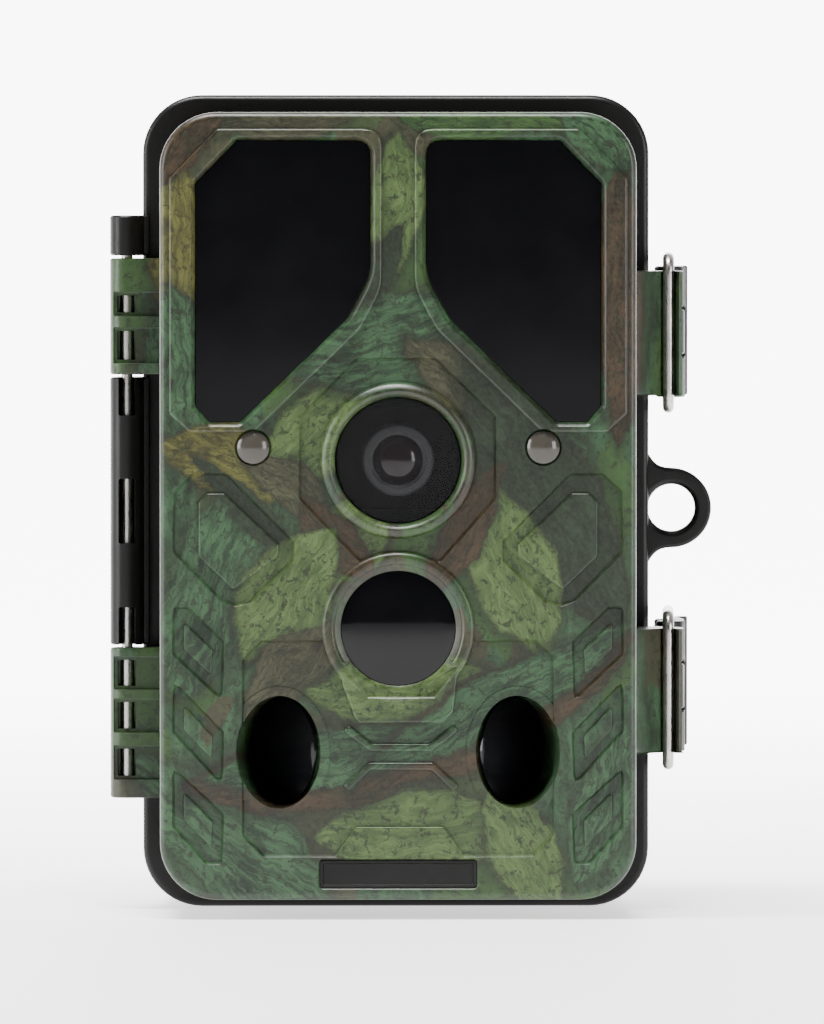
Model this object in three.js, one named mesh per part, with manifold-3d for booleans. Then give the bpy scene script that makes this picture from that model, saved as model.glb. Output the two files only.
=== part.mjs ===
// Trail camera: a book-like housing with a front cover hinged on a rear shell.
// Units are millimetres. The front faces -Y, +X is to the right and +Z is up.
// The origin is on the flat base, 8 mm behind the plane where the halves meet.
import * as THREE from 'three';
import { mergeVertices } from 'three/addons/utils/BufferGeometryUtils.js';
import Module from 'manifold-3d';

const wasm = await Module();
wasm.setup();

// ---- Driving dimensions ----
const gap = 0.3;
const partingY = -8;

const flangeWidth = 90;
const flangeHeight = 144.5;
const flangeDepth = 7;
const rearWidth = 86;
const rearHeight = 142.5;
const rearDepth = 30;
const rearWall = 2.5;
const railHeight = 11;

const coverWidth = 83.5;
const coverHeight = 138;
const coverRadius = 10;
const coverDepth = 32;
const coverWall = 2.3;
const middleZ = flangeHeight / 2;
const coverFrontY = partingY - coverDepth;
const coverRimY = partingY - 0.4;
const bezelHeight = 0.8;

const hingeX = -47.8;
const hingeY = partingY - 3.5;
const knuckleRadius = 3;
const pinRadius = 1;

const latchX = 49;
const leverPivotY = partingY + 6;
const bailPivotY = partingY + 14;
const latchBarX = 48.1;
const latchBarY = partingY - 10.6;
const wireRadius = 1;
const catchHalf = 11;
const leverHalf = 11.65;
const bailHalf = 13.2;
const latchHeights = { upper: 102.3, lower: 39 };

const lensX = 0;
const lensZ = 80.3;
const lensGlassRadius = 11;
const centreSensorZ = 50.9;
const centreSensorRadius = 10;
const sideSensorX = 20;
const sideSensorZ = 29.2;
const sideSensorRadius = 9.2;
const sideSensorTurn = THREE.MathUtils.degToRad(53);
const sideSensorY = coverFrontY + 8;
const domeX = 25.4;
const domeZ = 82.6;
const domeRadius = 2.8;

const cellRadius = 7.25;
const cellLength = 50.5;
const cellPitch = 15.6;
const cellY = partingY + 15.6;
const cellRows = [20.6, 76.2];

const panelFrontY = partingY - 3.2;
const panelBackY = partingY - 1.2;
const ledBoardInset = 1.2;
const ledPitchX = 7.2;
const ledPitchZ = 7.6;
const sensorCanRadius = 4.6;

// ---- Materials ----
const plastic = (color, roughness) => new THREE.MeshStandardMaterial({ color, roughness, metalness: 0 });
const metal = (color, roughness) => new THREE.MeshStandardMaterial({ color, roughness, metalness: 1 });
const camouflage = plastic(0x5d7648, 0.45);
const blackPlastic = plastic(0x1b1c1e, 0.5);
const greyPlastic = plastic(0x4a4d50, 0.5);
const darkAcrylic = plastic(0x050507, 0.06);
const clearGlass = plastic(0x0c0d12, 0.04);
const rubber = plastic(0x18181a, 0.85);
const steel = metal(0xb9b8b4, 0.3);
const brass = metal(0xb08d4a, 0.35);
const circuitBoard = plastic(0x1e5a34, 0.55);
const cellWrap = plastic(0x2f4d70, 0.35);

const model = new THREE.Group();

// ---- Solids ----
function solidOf(geometry) {
  const bare = geometry.clone();
  bare.deleteAttribute('normal');
  bare.deleteAttribute('uv');
  const merged = mergeVertices(bare, 1e-4);
  const vertProperties = Float32Array.from(merged.attributes.position.array);
  const triVerts = Uint32Array.from(merged.index.array);
  return new wasm.Manifold(new wasm.Mesh({ numProp: 3, vertProperties, triVerts }));
}

function geometryOf(solid) {
  const mesh = solid.getMesh();
  const geometry = new THREE.BufferGeometry();
  geometry.setAttribute('position', new THREE.BufferAttribute(mesh.vertProperties, 3));
  geometry.setIndex(new THREE.BufferAttribute(mesh.triVerts, 1));
  geometry.computeVertexNormals();
  return geometry;
}

function joined(solids) {
  return solids.reduce((whole, solid) => whole.add(solid));
}

function cut(solid, cutters) {
  return cutters.reduce((rest, cutter) => rest.subtract(cutter), solid);
}

function addPart(name, solid, material) {
  const mesh = new THREE.Mesh(geometryOf(solid), material);
  mesh.name = name;
  model.add(mesh);
}

// ---- Outlines, as [x, z] points seen from the front ----
function roundedRect(width, height, radius, x = 0, z = 0) {
  const right = x + width / 2 - radius;
  const left = x - width / 2 + radius;
  const top = z + height / 2 - radius;
  const bottom = z - height / 2 + radius;
  const shape = new THREE.Shape();
  shape.absarc(right, bottom, radius, -Math.PI / 2, 0);
  shape.absarc(right, top, radius, 0, Math.PI / 2);
  shape.absarc(left, top, radius, Math.PI / 2, Math.PI);
  shape.absarc(left, bottom, radius, Math.PI, 1.5 * Math.PI);
  shape.closePath();
  return shape;
}

function circleOutline(radius, x = 0, z = 0) {
  return new THREE.Shape().absarc(x, z, radius, 0, 2 * Math.PI);
}

function outline(points) {
  return new THREE.Shape(points.map(([x, z]) => new THREE.Vector2(x, z)));
}

function mirrored(points) {
  return points.map(([x, z]) => [-x, z]).reverse();
}

// Moves every edge of an anticlockwise outline outwards by a distance.
function grown(points, distance) {
  const corners = points.map(([x, z]) => new THREE.Vector2(x, z));
  return corners.map((corner, i) => {
    const before = corner.clone().sub(corners.at(i - 1)).normalize();
    const after = corners[(i + 1) % corners.length].clone().sub(corner).normalize();
    const bisector = new THREE.Vector2(before.y + after.y, -before.x - after.x).normalize();
    const reach = distance / (bisector.x * after.y - bisector.y * after.x);
    return [corner.x + bisector.x * reach, corner.y + bisector.y * reach];
  });
}

// ---- Basic bodies ----
function box(x0, x1, y0, y1, z0, z1) {
  const geometry = new THREE.BoxGeometry(x1 - x0, y1 - y0, z1 - z0);
  geometry.translate((x0 + x1) / 2, (y0 + y1) / 2, (z0 + z1) / 2);
  return solidOf(geometry);
}

// An outline seen from the front, made solid from frontY back to backY.
function frontPrism(shape, frontY, backY, curveSegments = 6) {
  const geometry = new THREE.ExtrudeGeometry(shape, {
    depth: backY - frontY,
    bevelEnabled: false,
    curveSegments,
  });
  geometry.rotateX(Math.PI / 2);
  geometry.translate(0, backY, 0);
  return solidOf(geometry);
}

// The same, with all its front and back edges chamfered.
function chamferedPrism(shape, frontY, backY, chamfer, curveSegments = 6) {
  const geometry = new THREE.ExtrudeGeometry(shape, {
    depth: backY - frontY - 2 * chamfer,
    bevelThickness: chamfer,
    bevelSize: chamfer,
    bevelOffset: -chamfer,
    bevelSegments: 1,
    curveSegments,
  });
  geometry.rotateX(Math.PI / 2);
  geometry.translate(0, backY - chamfer, 0);
  return solidOf(geometry);
}

// An outline seen from above, as [x, y] points, made solid from z0 up to z1.
function uprightPrism(shape, z0, z1, curveSegments = 6) {
  const geometry = new THREE.ExtrudeGeometry(shape, { depth: z1 - z0, bevelEnabled: false, curveSegments });
  geometry.translate(0, 0, z0);
  return solidOf(geometry);
}

function uprightRod(radius, x, y, z0, z1, segments = 12) {
  const geometry = new THREE.CylinderGeometry(radius, radius, z1 - z0, segments);
  geometry.rotateX(Math.PI / 2);
  geometry.translate(x, y, (z0 + z1) / 2);
  return solidOf(geometry);
}

function frontRod(radius, x, z, frontY, backY, segments = 16) {
  const geometry = new THREE.CylinderGeometry(radius, radius, backY - frontY, segments);
  geometry.translate(x, (frontY + backY) / 2, z);
  return solidOf(geometry);
}

function lathed(profile, segments) {
  return new THREE.LatheGeometry(profile.map(([r, h]) => new THREE.Vector2(r, h)), segments);
}

// A body of revolution. Its profile is [radius, height]; +height points to the front.
function turnedToFront(profile, x, y, z, segments = 20) {
  const geometry = lathed(profile, segments);
  geometry.rotateX(Math.PI);
  geometry.translate(x, y, z);
  return solidOf(geometry);
}

function sphereCap(radius, height, rings = 3) {
  const sphere = (radius * radius + height * height) / (2 * height);
  const reach = Math.asin(radius / sphere);
  return Array.from({ length: rings + 1 }, (_, i) => {
    const angle = reach * (1 - i / rings);
    return [i === rings ? 0 : sphere * Math.sin(angle), sphere * Math.cos(angle) - sphere + height];
  });
}

// ---- Front cover: outlines of the relief on its face ----
const leftWindowOutline = [
  [-27.7, 87.1], [-8.9, 105.2], [-6, 109.2], [-4.9, 112.7], [-4.9, 133.8], [-5.6, 135.6], [-7.4, 136.3],
  [-28.2, 136.3], [-35.5, 128.8], [-35.5, 89.9], [-33.1, 87.1],
];
const leftBezelOutline = [
  [-25.3, 85.2], [-6.9, 103], [-4, 107.4], [-2.8, 112.4], [-2.8, 135.5], [-3.7, 137.5], [-5.8, 138.4],
  [-31.7, 138.4], [-40.1, 129.7], [-40.1, 88.5], [-36.6, 85.2],
];
const hexagonOutline = [
  [7.4, 62.6], [17.1, 73.6], [17.1, 88], [6.6, 98.1], [-7.4, 98.1], [-17.3, 88], [-17.3, 73.6], [-6.7, 62.6],
];
const rightWingOutline = [
  [25.9, 55.4], [28.6, 54.8], [31, 55.7], [39.4, 64.3], [39.3, 74.7], [36, 78], [30.1, 78], [18.2, 66.1],
  [18.2, 62.8],
];
const rightWingPlateau = [
  [28.9, 57.6], [35, 63.5], [35, 73], [33.5, 74.6], [30.4, 74.6], [20.9, 65.6], [20.9, 63.6],
];
const rightChevronOutlines = [
  [[30.8, 38.1], [39.5, 46.4], [39.4, 54.6], [36.8, 54.6], [30.5, 48.6]],
  [[30.8, 23.3], [39.5, 32.7], [39.4, 41.8], [30.5, 32.7]],
  [[30.8, 9.6], [33.6, 9.6], [39.5, 16.1], [39.5, 26.6], [30.5, 18.4]],
];
const rightChevronPlateaus = [
  [[32.8, 43], [37.5, 47.6], [37.4, 51.6], [32.6, 47]],
  [[32.8, 28.3], [37.5, 33.4], [37.4, 37], [32.6, 32]],
  [[32.8, 12.6], [37.5, 17.6], [37.5, 22], [32.6, 17]],
];
const sensorLipOutline = [
  [-6.8, 34.5], [9.8, 34.5], [7, 39], [9.4, 43.6], [-9.4, 43.6], [-6, 39],
];
const bibOutline = [
  [-23.5, 10.9], [23.7, 10.9], [27.3, 14.5], [27.3, 45.9], [24, 48.8], [-24, 48.8], [-27.3, 45.5],
  [-27.3, 14.5],
];
const trapezoidOutline = [[-11.4, 10.9], [12, 10.9], [8, 16.1], [-7.4, 16.1]];
const badge = { width: 27.5, height: 4.9, z: 7.9 };

// ---- Front cover: hinge side ----
const coverKnuckles = [
  { bottom: 94.9, top: 115.5, windows: [[97.9, 101.8], [105.9, 109.4]] },
  { bottom: 19.7, top: 46.4, windows: [[23.8, 28.3], [32.2, 36.6], [39.8, 44.2]] },
];
const rearKnuckles = [
  { bottom: 116, top: 123.1, windows: [] },
  { bottom: 46.9, top: 94.4, windows: [[46.5, 53.6], [64.9, 76.4], [87.6, 94.8]] },
];

function hingeBore() {
  return uprightRod(pinRadius + gap, hingeX, hingeY, 20, 121.8, 12);
}

function coverHingeBlocks() {
  return coverKnuckles.map(({ bottom, top, windows }) => {
    const barrel = uprightRod(knuckleRadius, hingeX, hingeY, bottom, top, 20);
    const armEnd = -coverWidth / 2 + 0.8;
    const arm = box(hingeX, armEnd, hingeY - knuckleRadius, hingeY + knuckleRadius, bottom, top);
    const openings = windows.map(([low, high]) =>
      box(hingeX - 1.9, hingeX + 1.4, hingeY - knuckleRadius - 1, hingeY + 0.4, low, high));
    return cut(barrel.add(arm), [hingeBore(), ...openings]);
  });
}

// ---- Front cover: latch side ----
function coverCatch(centreZ) {
  const wallX = coverWidth / 2 - 0.8;
  const groove = wireRadius + gap + 0.1;
  const profile = new THREE.Shape();
  profile.moveTo(wallX, partingY - 1);
  profile.lineTo(wallX, partingY - 21);
  profile.lineTo(43, partingY - 15.5);
  profile.lineTo(45, partingY - 12.3);
  profile.lineTo(latchBarX - groove, latchBarY);
  profile.absarc(latchBarX, latchBarY, groove, Math.PI, 0, true);
  profile.lineTo(latchBarX + groove + 0.2, partingY - 12.4);
  profile.lineTo(50.4, partingY - 12);
  profile.lineTo(50.4, partingY - 6);
  profile.lineTo(46, partingY - 2);
  profile.closePath();
  return uprightPrism(profile, centreZ - catchHalf, centreZ + catchHalf, 5);
}

// ---- Front cover: oblique pockets of the side motion sensors ----
function sidePocketOutline(extra) {
  return new THREE.Shape().absellipse(20.8, sideSensorZ, 7.4 + extra, 10 + extra, 0, 2 * Math.PI);
}

// Everything in front of the plane of a side lens, pushed back along its normal.
function inFrontOfSideLens(pushBack) {
  const geometry = new THREE.BoxGeometry(80, 60, 80);
  geometry.translate(0, -30 + pushBack, 0);
  geometry.rotateZ(sideSensorTurn);
  geometry.translate(sideSensorX, sideSensorY, sideSensorZ);
  return solidOf(geometry);
}

function mirrorX(solid) {
  return solid.mirror([1, 0, 0]);
}

function onBothSides(solid) {
  return [solid, mirrorX(solid)];
}

function turnedToSide(solid) {
  const turn = THREE.MathUtils.radToDeg(sideSensorTurn);
  return solid.rotate([0, 0, turn]).translate([sideSensorX, sideSensorY, sideSensorZ]);
}

function buildFrontShell() {
  const face = roundedRect(coverWidth, coverHeight, coverRadius, 0, middleZ);
  const innerWidth = coverWidth - 2 * coverWall;
  const innerHeight = coverHeight - 2 * coverWall;
  const innerOutline = roundedRect(innerWidth, innerHeight, coverRadius - coverWall, 0, middleZ);
  const body = joined([
    chamferedPrism(face, coverFrontY, partingY - 12, 1),
    frontPrism(face, partingY - 14, coverRimY),
  ]);
  const hollow = frontPrism(innerOutline, coverFrontY + 2.5, coverRimY + 1);
  const sunk = (points, depth) => frontPrism(outline(points), coverFrontY - 1, coverFrontY + depth);
  const recesses = [
    sunk(hexagonOutline, 0.6),
    sunk(bibOutline, 0.5),
    ...onBothSides(sunk(rightWingOutline, 0.65)),
    ...rightChevronOutlines.flatMap((points) => onBothSides(sunk(points, 0.6))),
  ];
  const pocketHousing = frontPrism(sidePocketOutline(1.6), coverFrontY + 0.5, partingY, 8)
    .intersect(inFrontOfSideLens(3));
  const raised = (points, height, chamfer) =>
    chamferedPrism(outline(points), coverFrontY - height, coverFrontY + 1.5, chamfer);
  const lensRing = turnedToFront(
    [[0, -1.5], [13.9, -1.5], [13.6, 0.2], [12.5, 1.2], [0, 1.2]], lensX, coverFrontY, lensZ, 28);
  const sensorRing = turnedToFront(
    [[0, -1.5], [13.6, -1.5], [13.2, 0.4], [12.2, 0.9], [0, 0.9]], 0, coverFrontY, centreSensorZ, 28);

  const solid = joined([
    cut(body, [hollow, ...recesses]),
    ...onBothSides(pocketHousing),
    ...onBothSides(raised(leftBezelOutline, bezelHeight, 0.5)),
    ...onBothSides(raised(rightWingPlateau, -0.2, 0.3)),
    ...rightChevronPlateaus.flatMap((points) => onBothSides(raised(points, -0.2, 0.3))),
    raised(trapezoidOutline, 0, 0.3),
    raised(sensorLipOutline, 0.6, 0.3),
    lensRing,
    sensorRing,
    ...Object.values(latchHeights).map(coverCatch),
    ...coverHingeBlocks(),
  ]);

  const through = (shape, segments) => frontPrism(shape, coverFrontY - 3, coverFrontY + 3, segments);
  const sidePocket = frontPrism(sidePocketOutline(0), coverFrontY - 2, partingY, 8)
    .intersect(inFrontOfSideLens(0.7));
  const sideBore = turnedToSide(frontRod(6, 0, 0, -6, 8, 20));
  const badgeRecess = roundedRect(badge.width + 2 * gap, badge.height + 2 * gap, 0.8, 0, badge.z);
  return cut(solid, [
    ...onBothSides(through(outline(grown(leftWindowOutline, gap)))),
    through(circleOutline(lensGlassRadius + gap, lensX, lensZ), 14),
    through(circleOutline(centreSensorRadius + gap, 0, centreSensorZ), 14),
    ...[-domeX, domeX].map((x) => through(circleOutline(domeRadius + gap, x, domeZ), 8)),
    ...onBothSides(sidePocket),
    ...onBothSides(sideBore),
    frontPrism(badgeRecess, coverFrontY - 1, coverFrontY + 1, 2),
  ]);
}

// ---- Front cover: windows, lenses and domes ----
function buildFaceFittings() {
  const windowFrontY = coverFrontY + 0.5;
  const leftWindow = frontPrism(outline(leftWindowOutline), windowFrontY, windowFrontY + 1.8);
  addPart('ir_window_left', leftWindow, darkAcrylic);
  addPart('ir_window_right', mirrorX(leftWindow), darkAcrylic);

  const centreLens = turnedToFront(
    [[0, -1.2], [centreSensorRadius, -1.2], ...sphereCap(centreSensorRadius, 0.9)],
    0, coverFrontY + 0.9, centreSensorZ, 28);
  addPart('pir_lens_centre', centreLens, darkAcrylic);

  const sideProfile = [[0, -0.8], [sideSensorRadius, -0.8], ...sphereCap(sideSensorRadius, 0.8)];
  const sideLens = turnedToSide(turnedToFront(sideProfile, 0, -0.5, 0, 28));
  addPart('pir_lens_right', sideLens, darkAcrylic);
  addPart('pir_lens_left', mirrorX(sideLens), darkAcrylic);

  const domeProfile = [[0, -1.6], [domeRadius, -1.6], ...sphereCap(domeRadius, 1.1)];
  addPart('status_led_dome', turnedToFront(domeProfile, -domeX, coverFrontY, domeZ, 16), clearGlass);
  addPart('light_sensor_dome', turnedToFront(domeProfile, domeX, coverFrontY, domeZ, 16), clearGlass);

  const badgeOutline = roundedRect(badge.width, badge.height, 0.7, 0, badge.z);
  const plate = chamferedPrism(badgeOutline, coverFrontY + 0.1, coverFrontY + 0.7, 0.15, 2);
  addPart('badge_plate', plate, blackPlastic);
}

// ---- Front cover: the camera module behind the lens window ----
function buildCameraModule() {
  const glassY = coverFrontY + 0.6;
  addPart('lens_window', frontRod(lensGlassRadius, lensX, lensZ, glassY, glassY + 1.4, 32), clearGlass);

  const barrelFrontY = glassY + 1.8;
  const barrelProfile = [
    [4.4, -14], [6.3, -14], [6.3, -0.6], [5.9, 0], [5, 0], [4.6, -1.2], [4.4, -3], [4.4, -14],
  ];
  addPart('lens_barrel', turnedToFront(barrelProfile, lensX, barrelFrontY, lensZ, 24), blackPlastic);
  const elementProfile = [[0, -1.3], [4.1, -1.3], ...sphereCap(4.1, 1.5)];
  const element = turnedToFront(elementProfile, lensX, barrelFrontY + 2.2, lensZ, 20);
  addPart('lens_front_element', element, clearGlass);

  const holderFrontY = barrelFrontY + 14.3;
  const holder = box(-10, 10, holderFrontY, holderFrontY + 5, lensZ - 9, lensZ + 9);
  const lightHole = frontRod(3.8, lensX, lensZ, holderFrontY - 1, holderFrontY + 6);
  const filterTrack = box(-11, 11, holderFrontY + 1.7, holderFrontY + 3.3, lensZ - 5.3, lensZ + 5.3);
  addPart('lens_holder', cut(holder, [lightHole, filterTrack]), blackPlastic);
  const filter = box(-9.5, 4.5, holderFrontY + 2, holderFrontY + 3, lensZ - 5, lensZ + 5);
  addPart('ir_cut_filter', filter, clearGlass);

  const boardY = holderFrontY + 5.3;
  const board = box(-13, 13, boardY, boardY + 1.2, lensZ - 13, lensZ + 13);
  const imageSensor = box(-2.6, 2.6, boardY - 1, boardY, lensZ - 2.4, lensZ + 2.4);
  addPart('image_sensor_board', board.add(imageSensor), circuitBoard);
}

// ---- Front cover: infrared LED boards and motion sensors ----
function leftLedPlaces() {
  const places = [];
  for (let row = 0; row < 6; row += 1) {
    for (let column = 0; column < 4; column += 1) {
      const x = -31 + column * ledPitchX;
      const z = 92 + row * ledPitchZ;
      const clearOfSlope = x < -9 - 1.04 * Math.max(0, 108 - z);
      const clearOfCorner = row < 5 || column > 0;
      if (clearOfSlope && clearOfCorner) places.push([x, z]);
    }
  }
  return places;
}

function buildLedBoards() {
  const frontY = coverFrontY + 6;
  const board = frontPrism(outline(grown(leftWindowOutline, -ledBoardInset)), frontY, frontY + 1.4);
  const bulb = [[0, -0.2], [1.5, -0.2], [1.5, 1.4], [1.1, 2.4], [0, 2.8]];
  const whole = joined([board, ...leftLedPlaces().map(([x, z]) => turnedToFront(bulb, x, frontY, z, 8))]);
  addPart('ir_led_board_left', whole, circuitBoard);
  addPart('ir_led_board_right', mirrorX(whole), circuitBoard);
}

function motionSensor() {
  const rim = sensorCanRadius;
  const can = rim - 0.5;
  return turnedToFront([[0, -5], [rim, -5], [rim, -4], [can, -3.8], [can, 0], [0, 0]], 0, 0, 0, 20);
}

function buildMotionSensors() {
  addPart('pir_sensor_centre', motionSensor().translate([0, coverFrontY + 12, centreSensorZ]), steel);
  const sideSensor = turnedToSide(motionSensor().translate([0, 5, 0]));
  addPart('pir_sensor_right', sideSensor, steel);
  addPart('pir_sensor_left', mirrorX(sideSensor), steel);
}

// ---- Front cover: electronics and the control panel at the back ----
const lcd = { z: 103, openingWidth: 51, openingHeight: 38.4 };
const buttonRadius = 3.2;
const buttons = {
  menu_button: [-24, 62],
  ok_button: [0, 62],
  up_button: [0, 71],
  down_button: [0, 53],
  left_button: [9, 62],
  right_button: [-9, 62],
};
const modeSwitch = { x: 24, z: 62, slotHalf: 8.6 };
const cardSlot = { x: -20, z: 45 };
const usbSlot = { x: 20, z: 45 };
const speakerPlace = { x: 0, z: 30 };

// A box centred on x and z, given by its half width, front, back and half height.
function boxAbout({ x, z }, halfWidth, frontY, backY, halfHeight) {
  return box(x - halfWidth, x + halfWidth, frontY, backY, z - halfHeight, z + halfHeight);
}

function buildControlPanel() {
  const width = coverWidth - 2 * coverWall - 0.8;
  const height = coverHeight - 2 * coverWall - 0.8;
  const panel = frontPrism(roundedRect(width, height, 7.2, 0, middleZ), panelFrontY, panelBackY);
  const opening = (place, halfWidth, halfHeight) =>
    boxAbout(place, halfWidth, panelFrontY - 1, panelBackY + 1, halfHeight);
  const drilled = (radius, x, z, segments) =>
    frontRod(radius, x, z, panelFrontY - 1, panelBackY + 1, segments);
  const buttonHoles = Object.values(buttons).map(([x, z]) => drilled(buttonRadius + gap, x, z, 16));
  const grille = [-4.5, 0, 4.5].flatMap((x) => [-3, 3].map((z) => drilled(1, x, speakerPlace.z + z, 8)));
  const holes = [
    opening({ x: 0, z: lcd.z }, lcd.openingWidth / 2, lcd.openingHeight / 2),
    opening(modeSwitch, 2, modeSwitch.slotHalf),
    opening(cardSlot, 6, 1),
    opening(usbSlot, 4.6, 2),
    ...buttonHoles,
    ...grille,
  ];
  addPart('inner_panel', cut(panel, holes), greyPlastic);

  for (const [name, [x, z]] of Object.entries(buttons)) {
    const cap = frontRod(buttonRadius, x, z, panelFrontY - 1.2, panelBackY + 1, 16);
    const collar = frontRod(buttonRadius + 1, x, z, panelFrontY - 1.4, panelFrontY - gap, 16);
    addPart(name, cap.add(collar), rubber);
  }

  const knob = boxAbout(modeSwitch, 1.6, panelFrontY - 1, panelBackY + 2, 2.4);
  const slider = boxAbout(modeSwitch, 3.4, panelFrontY - 1.6, panelFrontY - gap, 3.6);
  addPart('mode_switch_knob', knob.add(slider), blackPlastic);
}

function buildElectronics() {
  const lcdBackY = panelFrontY - gap;
  const lcdFrontY = lcdBackY - 3.2;
  const lcdPlace = { x: 0, z: lcd.z };
  addPart('lcd_module', boxAbout(lcdPlace, 29, lcdFrontY, lcdBackY, 21), blackPlastic);
  const windowHalf = { width: lcd.openingWidth / 2 - gap, height: lcd.openingHeight / 2 - gap };
  const screen = boxAbout(lcdPlace, windowHalf.width, panelFrontY, panelBackY, windowHalf.height);
  addPart('lcd_window', screen, clearGlass);

  const boardBackY = lcdFrontY - gap;
  addPart('main_board', box(-36, 36, boardBackY - 1.4, boardBackY, 50, 132), circuitBoard);

  const socket = boxAbout(cardSlot, 7.5, partingY - 17.4, panelFrontY - gap, 1.8);
  const slot = boxAbout(cardSlot, 5.8, partingY - 16.6, partingY, 0.8);
  addPart('card_socket', socket.subtract(slot), steel);
  addPart('memory_card', boxAbout(cardSlot, 5.5, partingY - 15, partingY, 0.5), blackPlastic);

  const usbShell = boxAbout(usbSlot, 4.2, partingY - 9, panelBackY - 0.2, 1.6);
  const usbHole = boxAbout(usbSlot, 3.7, partingY - 8.2, partingY, 1.1);
  const usbTongue = boxAbout(usbSlot, 3, partingY - 8.4, partingY - 3, 0.35);
  addPart('usb_port', usbShell.subtract(usbHole).add(usbTongue), steel);

  const speakerProfile = [[0, 0], [9, 0], [9, 2.4], [6, 4.2], [0, 4.2]];
  const speaker = turnedToFront(speakerProfile, speakerPlace.x, panelFrontY - gap, speakerPlace.z, 24);
  addPart('speaker', speaker, blackPlastic);
}

// ---- Rear shell ----
const lockLug = { x: 49.1, z: 71, radius: 7.1, holeRadius: 4.2, frontY: partingY + 1, backY: partingY + 4.6 };
const strapRail = { x0: 25, x1: 31, bottom: 22, top: 122, slots: [[30, 56], [88, 114]] };
const rearBackY = partingY + rearDepth;
const tripod = { y: 10, radius: 4.7, depth: 9 };
const jack = { y: partingY + 18, z: 13, radius: 4.2 };

function lockLugPlate() {
  const { x, z, radius } = lockLug;
  const shape = new THREE.Shape();
  const flangeEdge = flangeWidth / 2 - 2;
  shape.moveTo(flangeEdge, z - 12.8);
  shape.bezierCurveTo(45.4, z - 10, 45.2, z - radius, x, z - radius);
  shape.absarc(x, z, radius, -Math.PI / 2, Math.PI / 2);
  shape.bezierCurveTo(45.2, z + radius, 45.4, z + 10, flangeEdge, z + 12.8);
  shape.closePath();
  shape.holes.push(new THREE.Path().absarc(x, z, lockLug.holeRadius, 0, 2 * Math.PI));
  return frontPrism(shape, lockLug.frontY, lockLug.backY, 10);
}

function strapRailSolid() {
  const shape = new THREE.Shape();
  const teeth = 10;
  const pitch = (strapRail.top - strapRail.bottom) / teeth;
  const tipY = rearBackY + railHeight;
  shape.moveTo(rearBackY - 1, strapRail.bottom);
  for (let i = 0; i < teeth; i += 1) {
    const low = strapRail.bottom + i * pitch;
    shape.lineTo(tipY - 2.4, low + 0.1);
    shape.lineTo(tipY, low + pitch * 0.35);
    shape.lineTo(tipY, low + pitch * 0.65);
  }
  shape.lineTo(tipY - 2.4, strapRail.top);
  shape.lineTo(rearBackY - 1, strapRail.top);
  shape.closePath();
  const railWidth = strapRail.x1 - strapRail.x0;
  const geometry = new THREE.ExtrudeGeometry(shape, { depth: railWidth, bevelEnabled: false });
  // The outline is drawn as [y, z]: x -> y, y -> z, and the depth runs along x.
  geometry.rotateX(Math.PI / 2);
  geometry.rotateZ(Math.PI / 2);
  geometry.translate(strapRail.x0, 0, 0);
  const slots = strapRail.slots.map(([low, high]) =>
    box(strapRail.x0 - 1, strapRail.x1 + 1, rearBackY + 1.4, rearBackY + 6.6, low, high));
  return cut(solidOf(geometry), slots);
}

function leverEar(centreZ) {
  const barrel = uprightRod(2.6, latchX, leverPivotY, centreZ - 4, centreZ + 4, 20);
  const web = box(42.5, latchX, leverPivotY - 2.6, leverPivotY + 2.6, centreZ - 4, centreZ + 4);
  const bore = uprightRod(pinRadius + gap, latchX, leverPivotY, centreZ - 5, centreZ + 5, 12);
  return barrel.add(web).subtract(bore);
}

function rearHingeBlocks() {
  return rearKnuckles.map(({ bottom, top, windows }) => {
    const barrel = uprightRod(knuckleRadius, hingeX, hingeY, bottom, top, 20);
    const foot = box(hingeX - 2.2, hingeX + 4, hingeY, partingY + 3, bottom, top);
    const openings = windows.map(([low, high]) =>
      box(hingeX - 1.4, hingeX + 1.4, hingeY - knuckleRadius - 1, hingeY + 0.2, low, high));
    return cut(barrel.add(foot), [hingeBore(), ...openings]);
  });
}

function buildRearShell() {
  const flange = roundedRect(flangeWidth, flangeHeight, 10.5, 0, middleZ);
  const bodyOutline = roundedRect(rearWidth, rearHeight, 9.5, 0, rearHeight / 2);
  const cavityWidth = rearWidth - 2 * rearWall;
  const cavityHeight = rearHeight - 2 * rearWall - 1.4;
  const cavityOutline = roundedRect(cavityWidth, cavityHeight, 7, 0, rearHeight / 2);
  const body = joined([
    frontPrism(flange, partingY, partingY + flangeDepth),
    chamferedPrism(bodyOutline, partingY + 2, rearBackY, 1),
  ]);
  const mouthOutline = roundedRect(coverWidth - 6.3, coverHeight - 6.3, 7, 0, middleZ);
  const hollow = frontPrism(cavityOutline, partingY + 3, rearBackY - rearWall)
    .add(frontPrism(mouthOutline, partingY - 1, partingY + 4));
  const rail = strapRailSolid();
  const shell = joined([
    cut(body, [hollow]),
    uprightRod(tripod.radius + 2, 0, tripod.y, 0.5, tripod.depth + 2, 24),
    rail,
    mirrorX(rail),
    lockLugPlate(),
    ...Object.values(latchHeights).map(leverEar),
    ...rearHingeBlocks(),
  ]);
  const sideRod = (radius, x0, x1) => {
    const geometry = new THREE.CylinderGeometry(radius, radius, x1 - x0, 20);
    geometry.rotateZ(Math.PI / 2);
    geometry.translate((x0 + x1) / 2, jack.y, jack.z);
    return solidOf(geometry);
  };
  return cut(shell, [
    uprightRod(tripod.radius + gap, 0, tripod.y, -1, tripod.depth + gap, 24),
    sideRod(jack.radius + gap, 38, 46),
    gasketRing(gap),
  ]);
}

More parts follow.
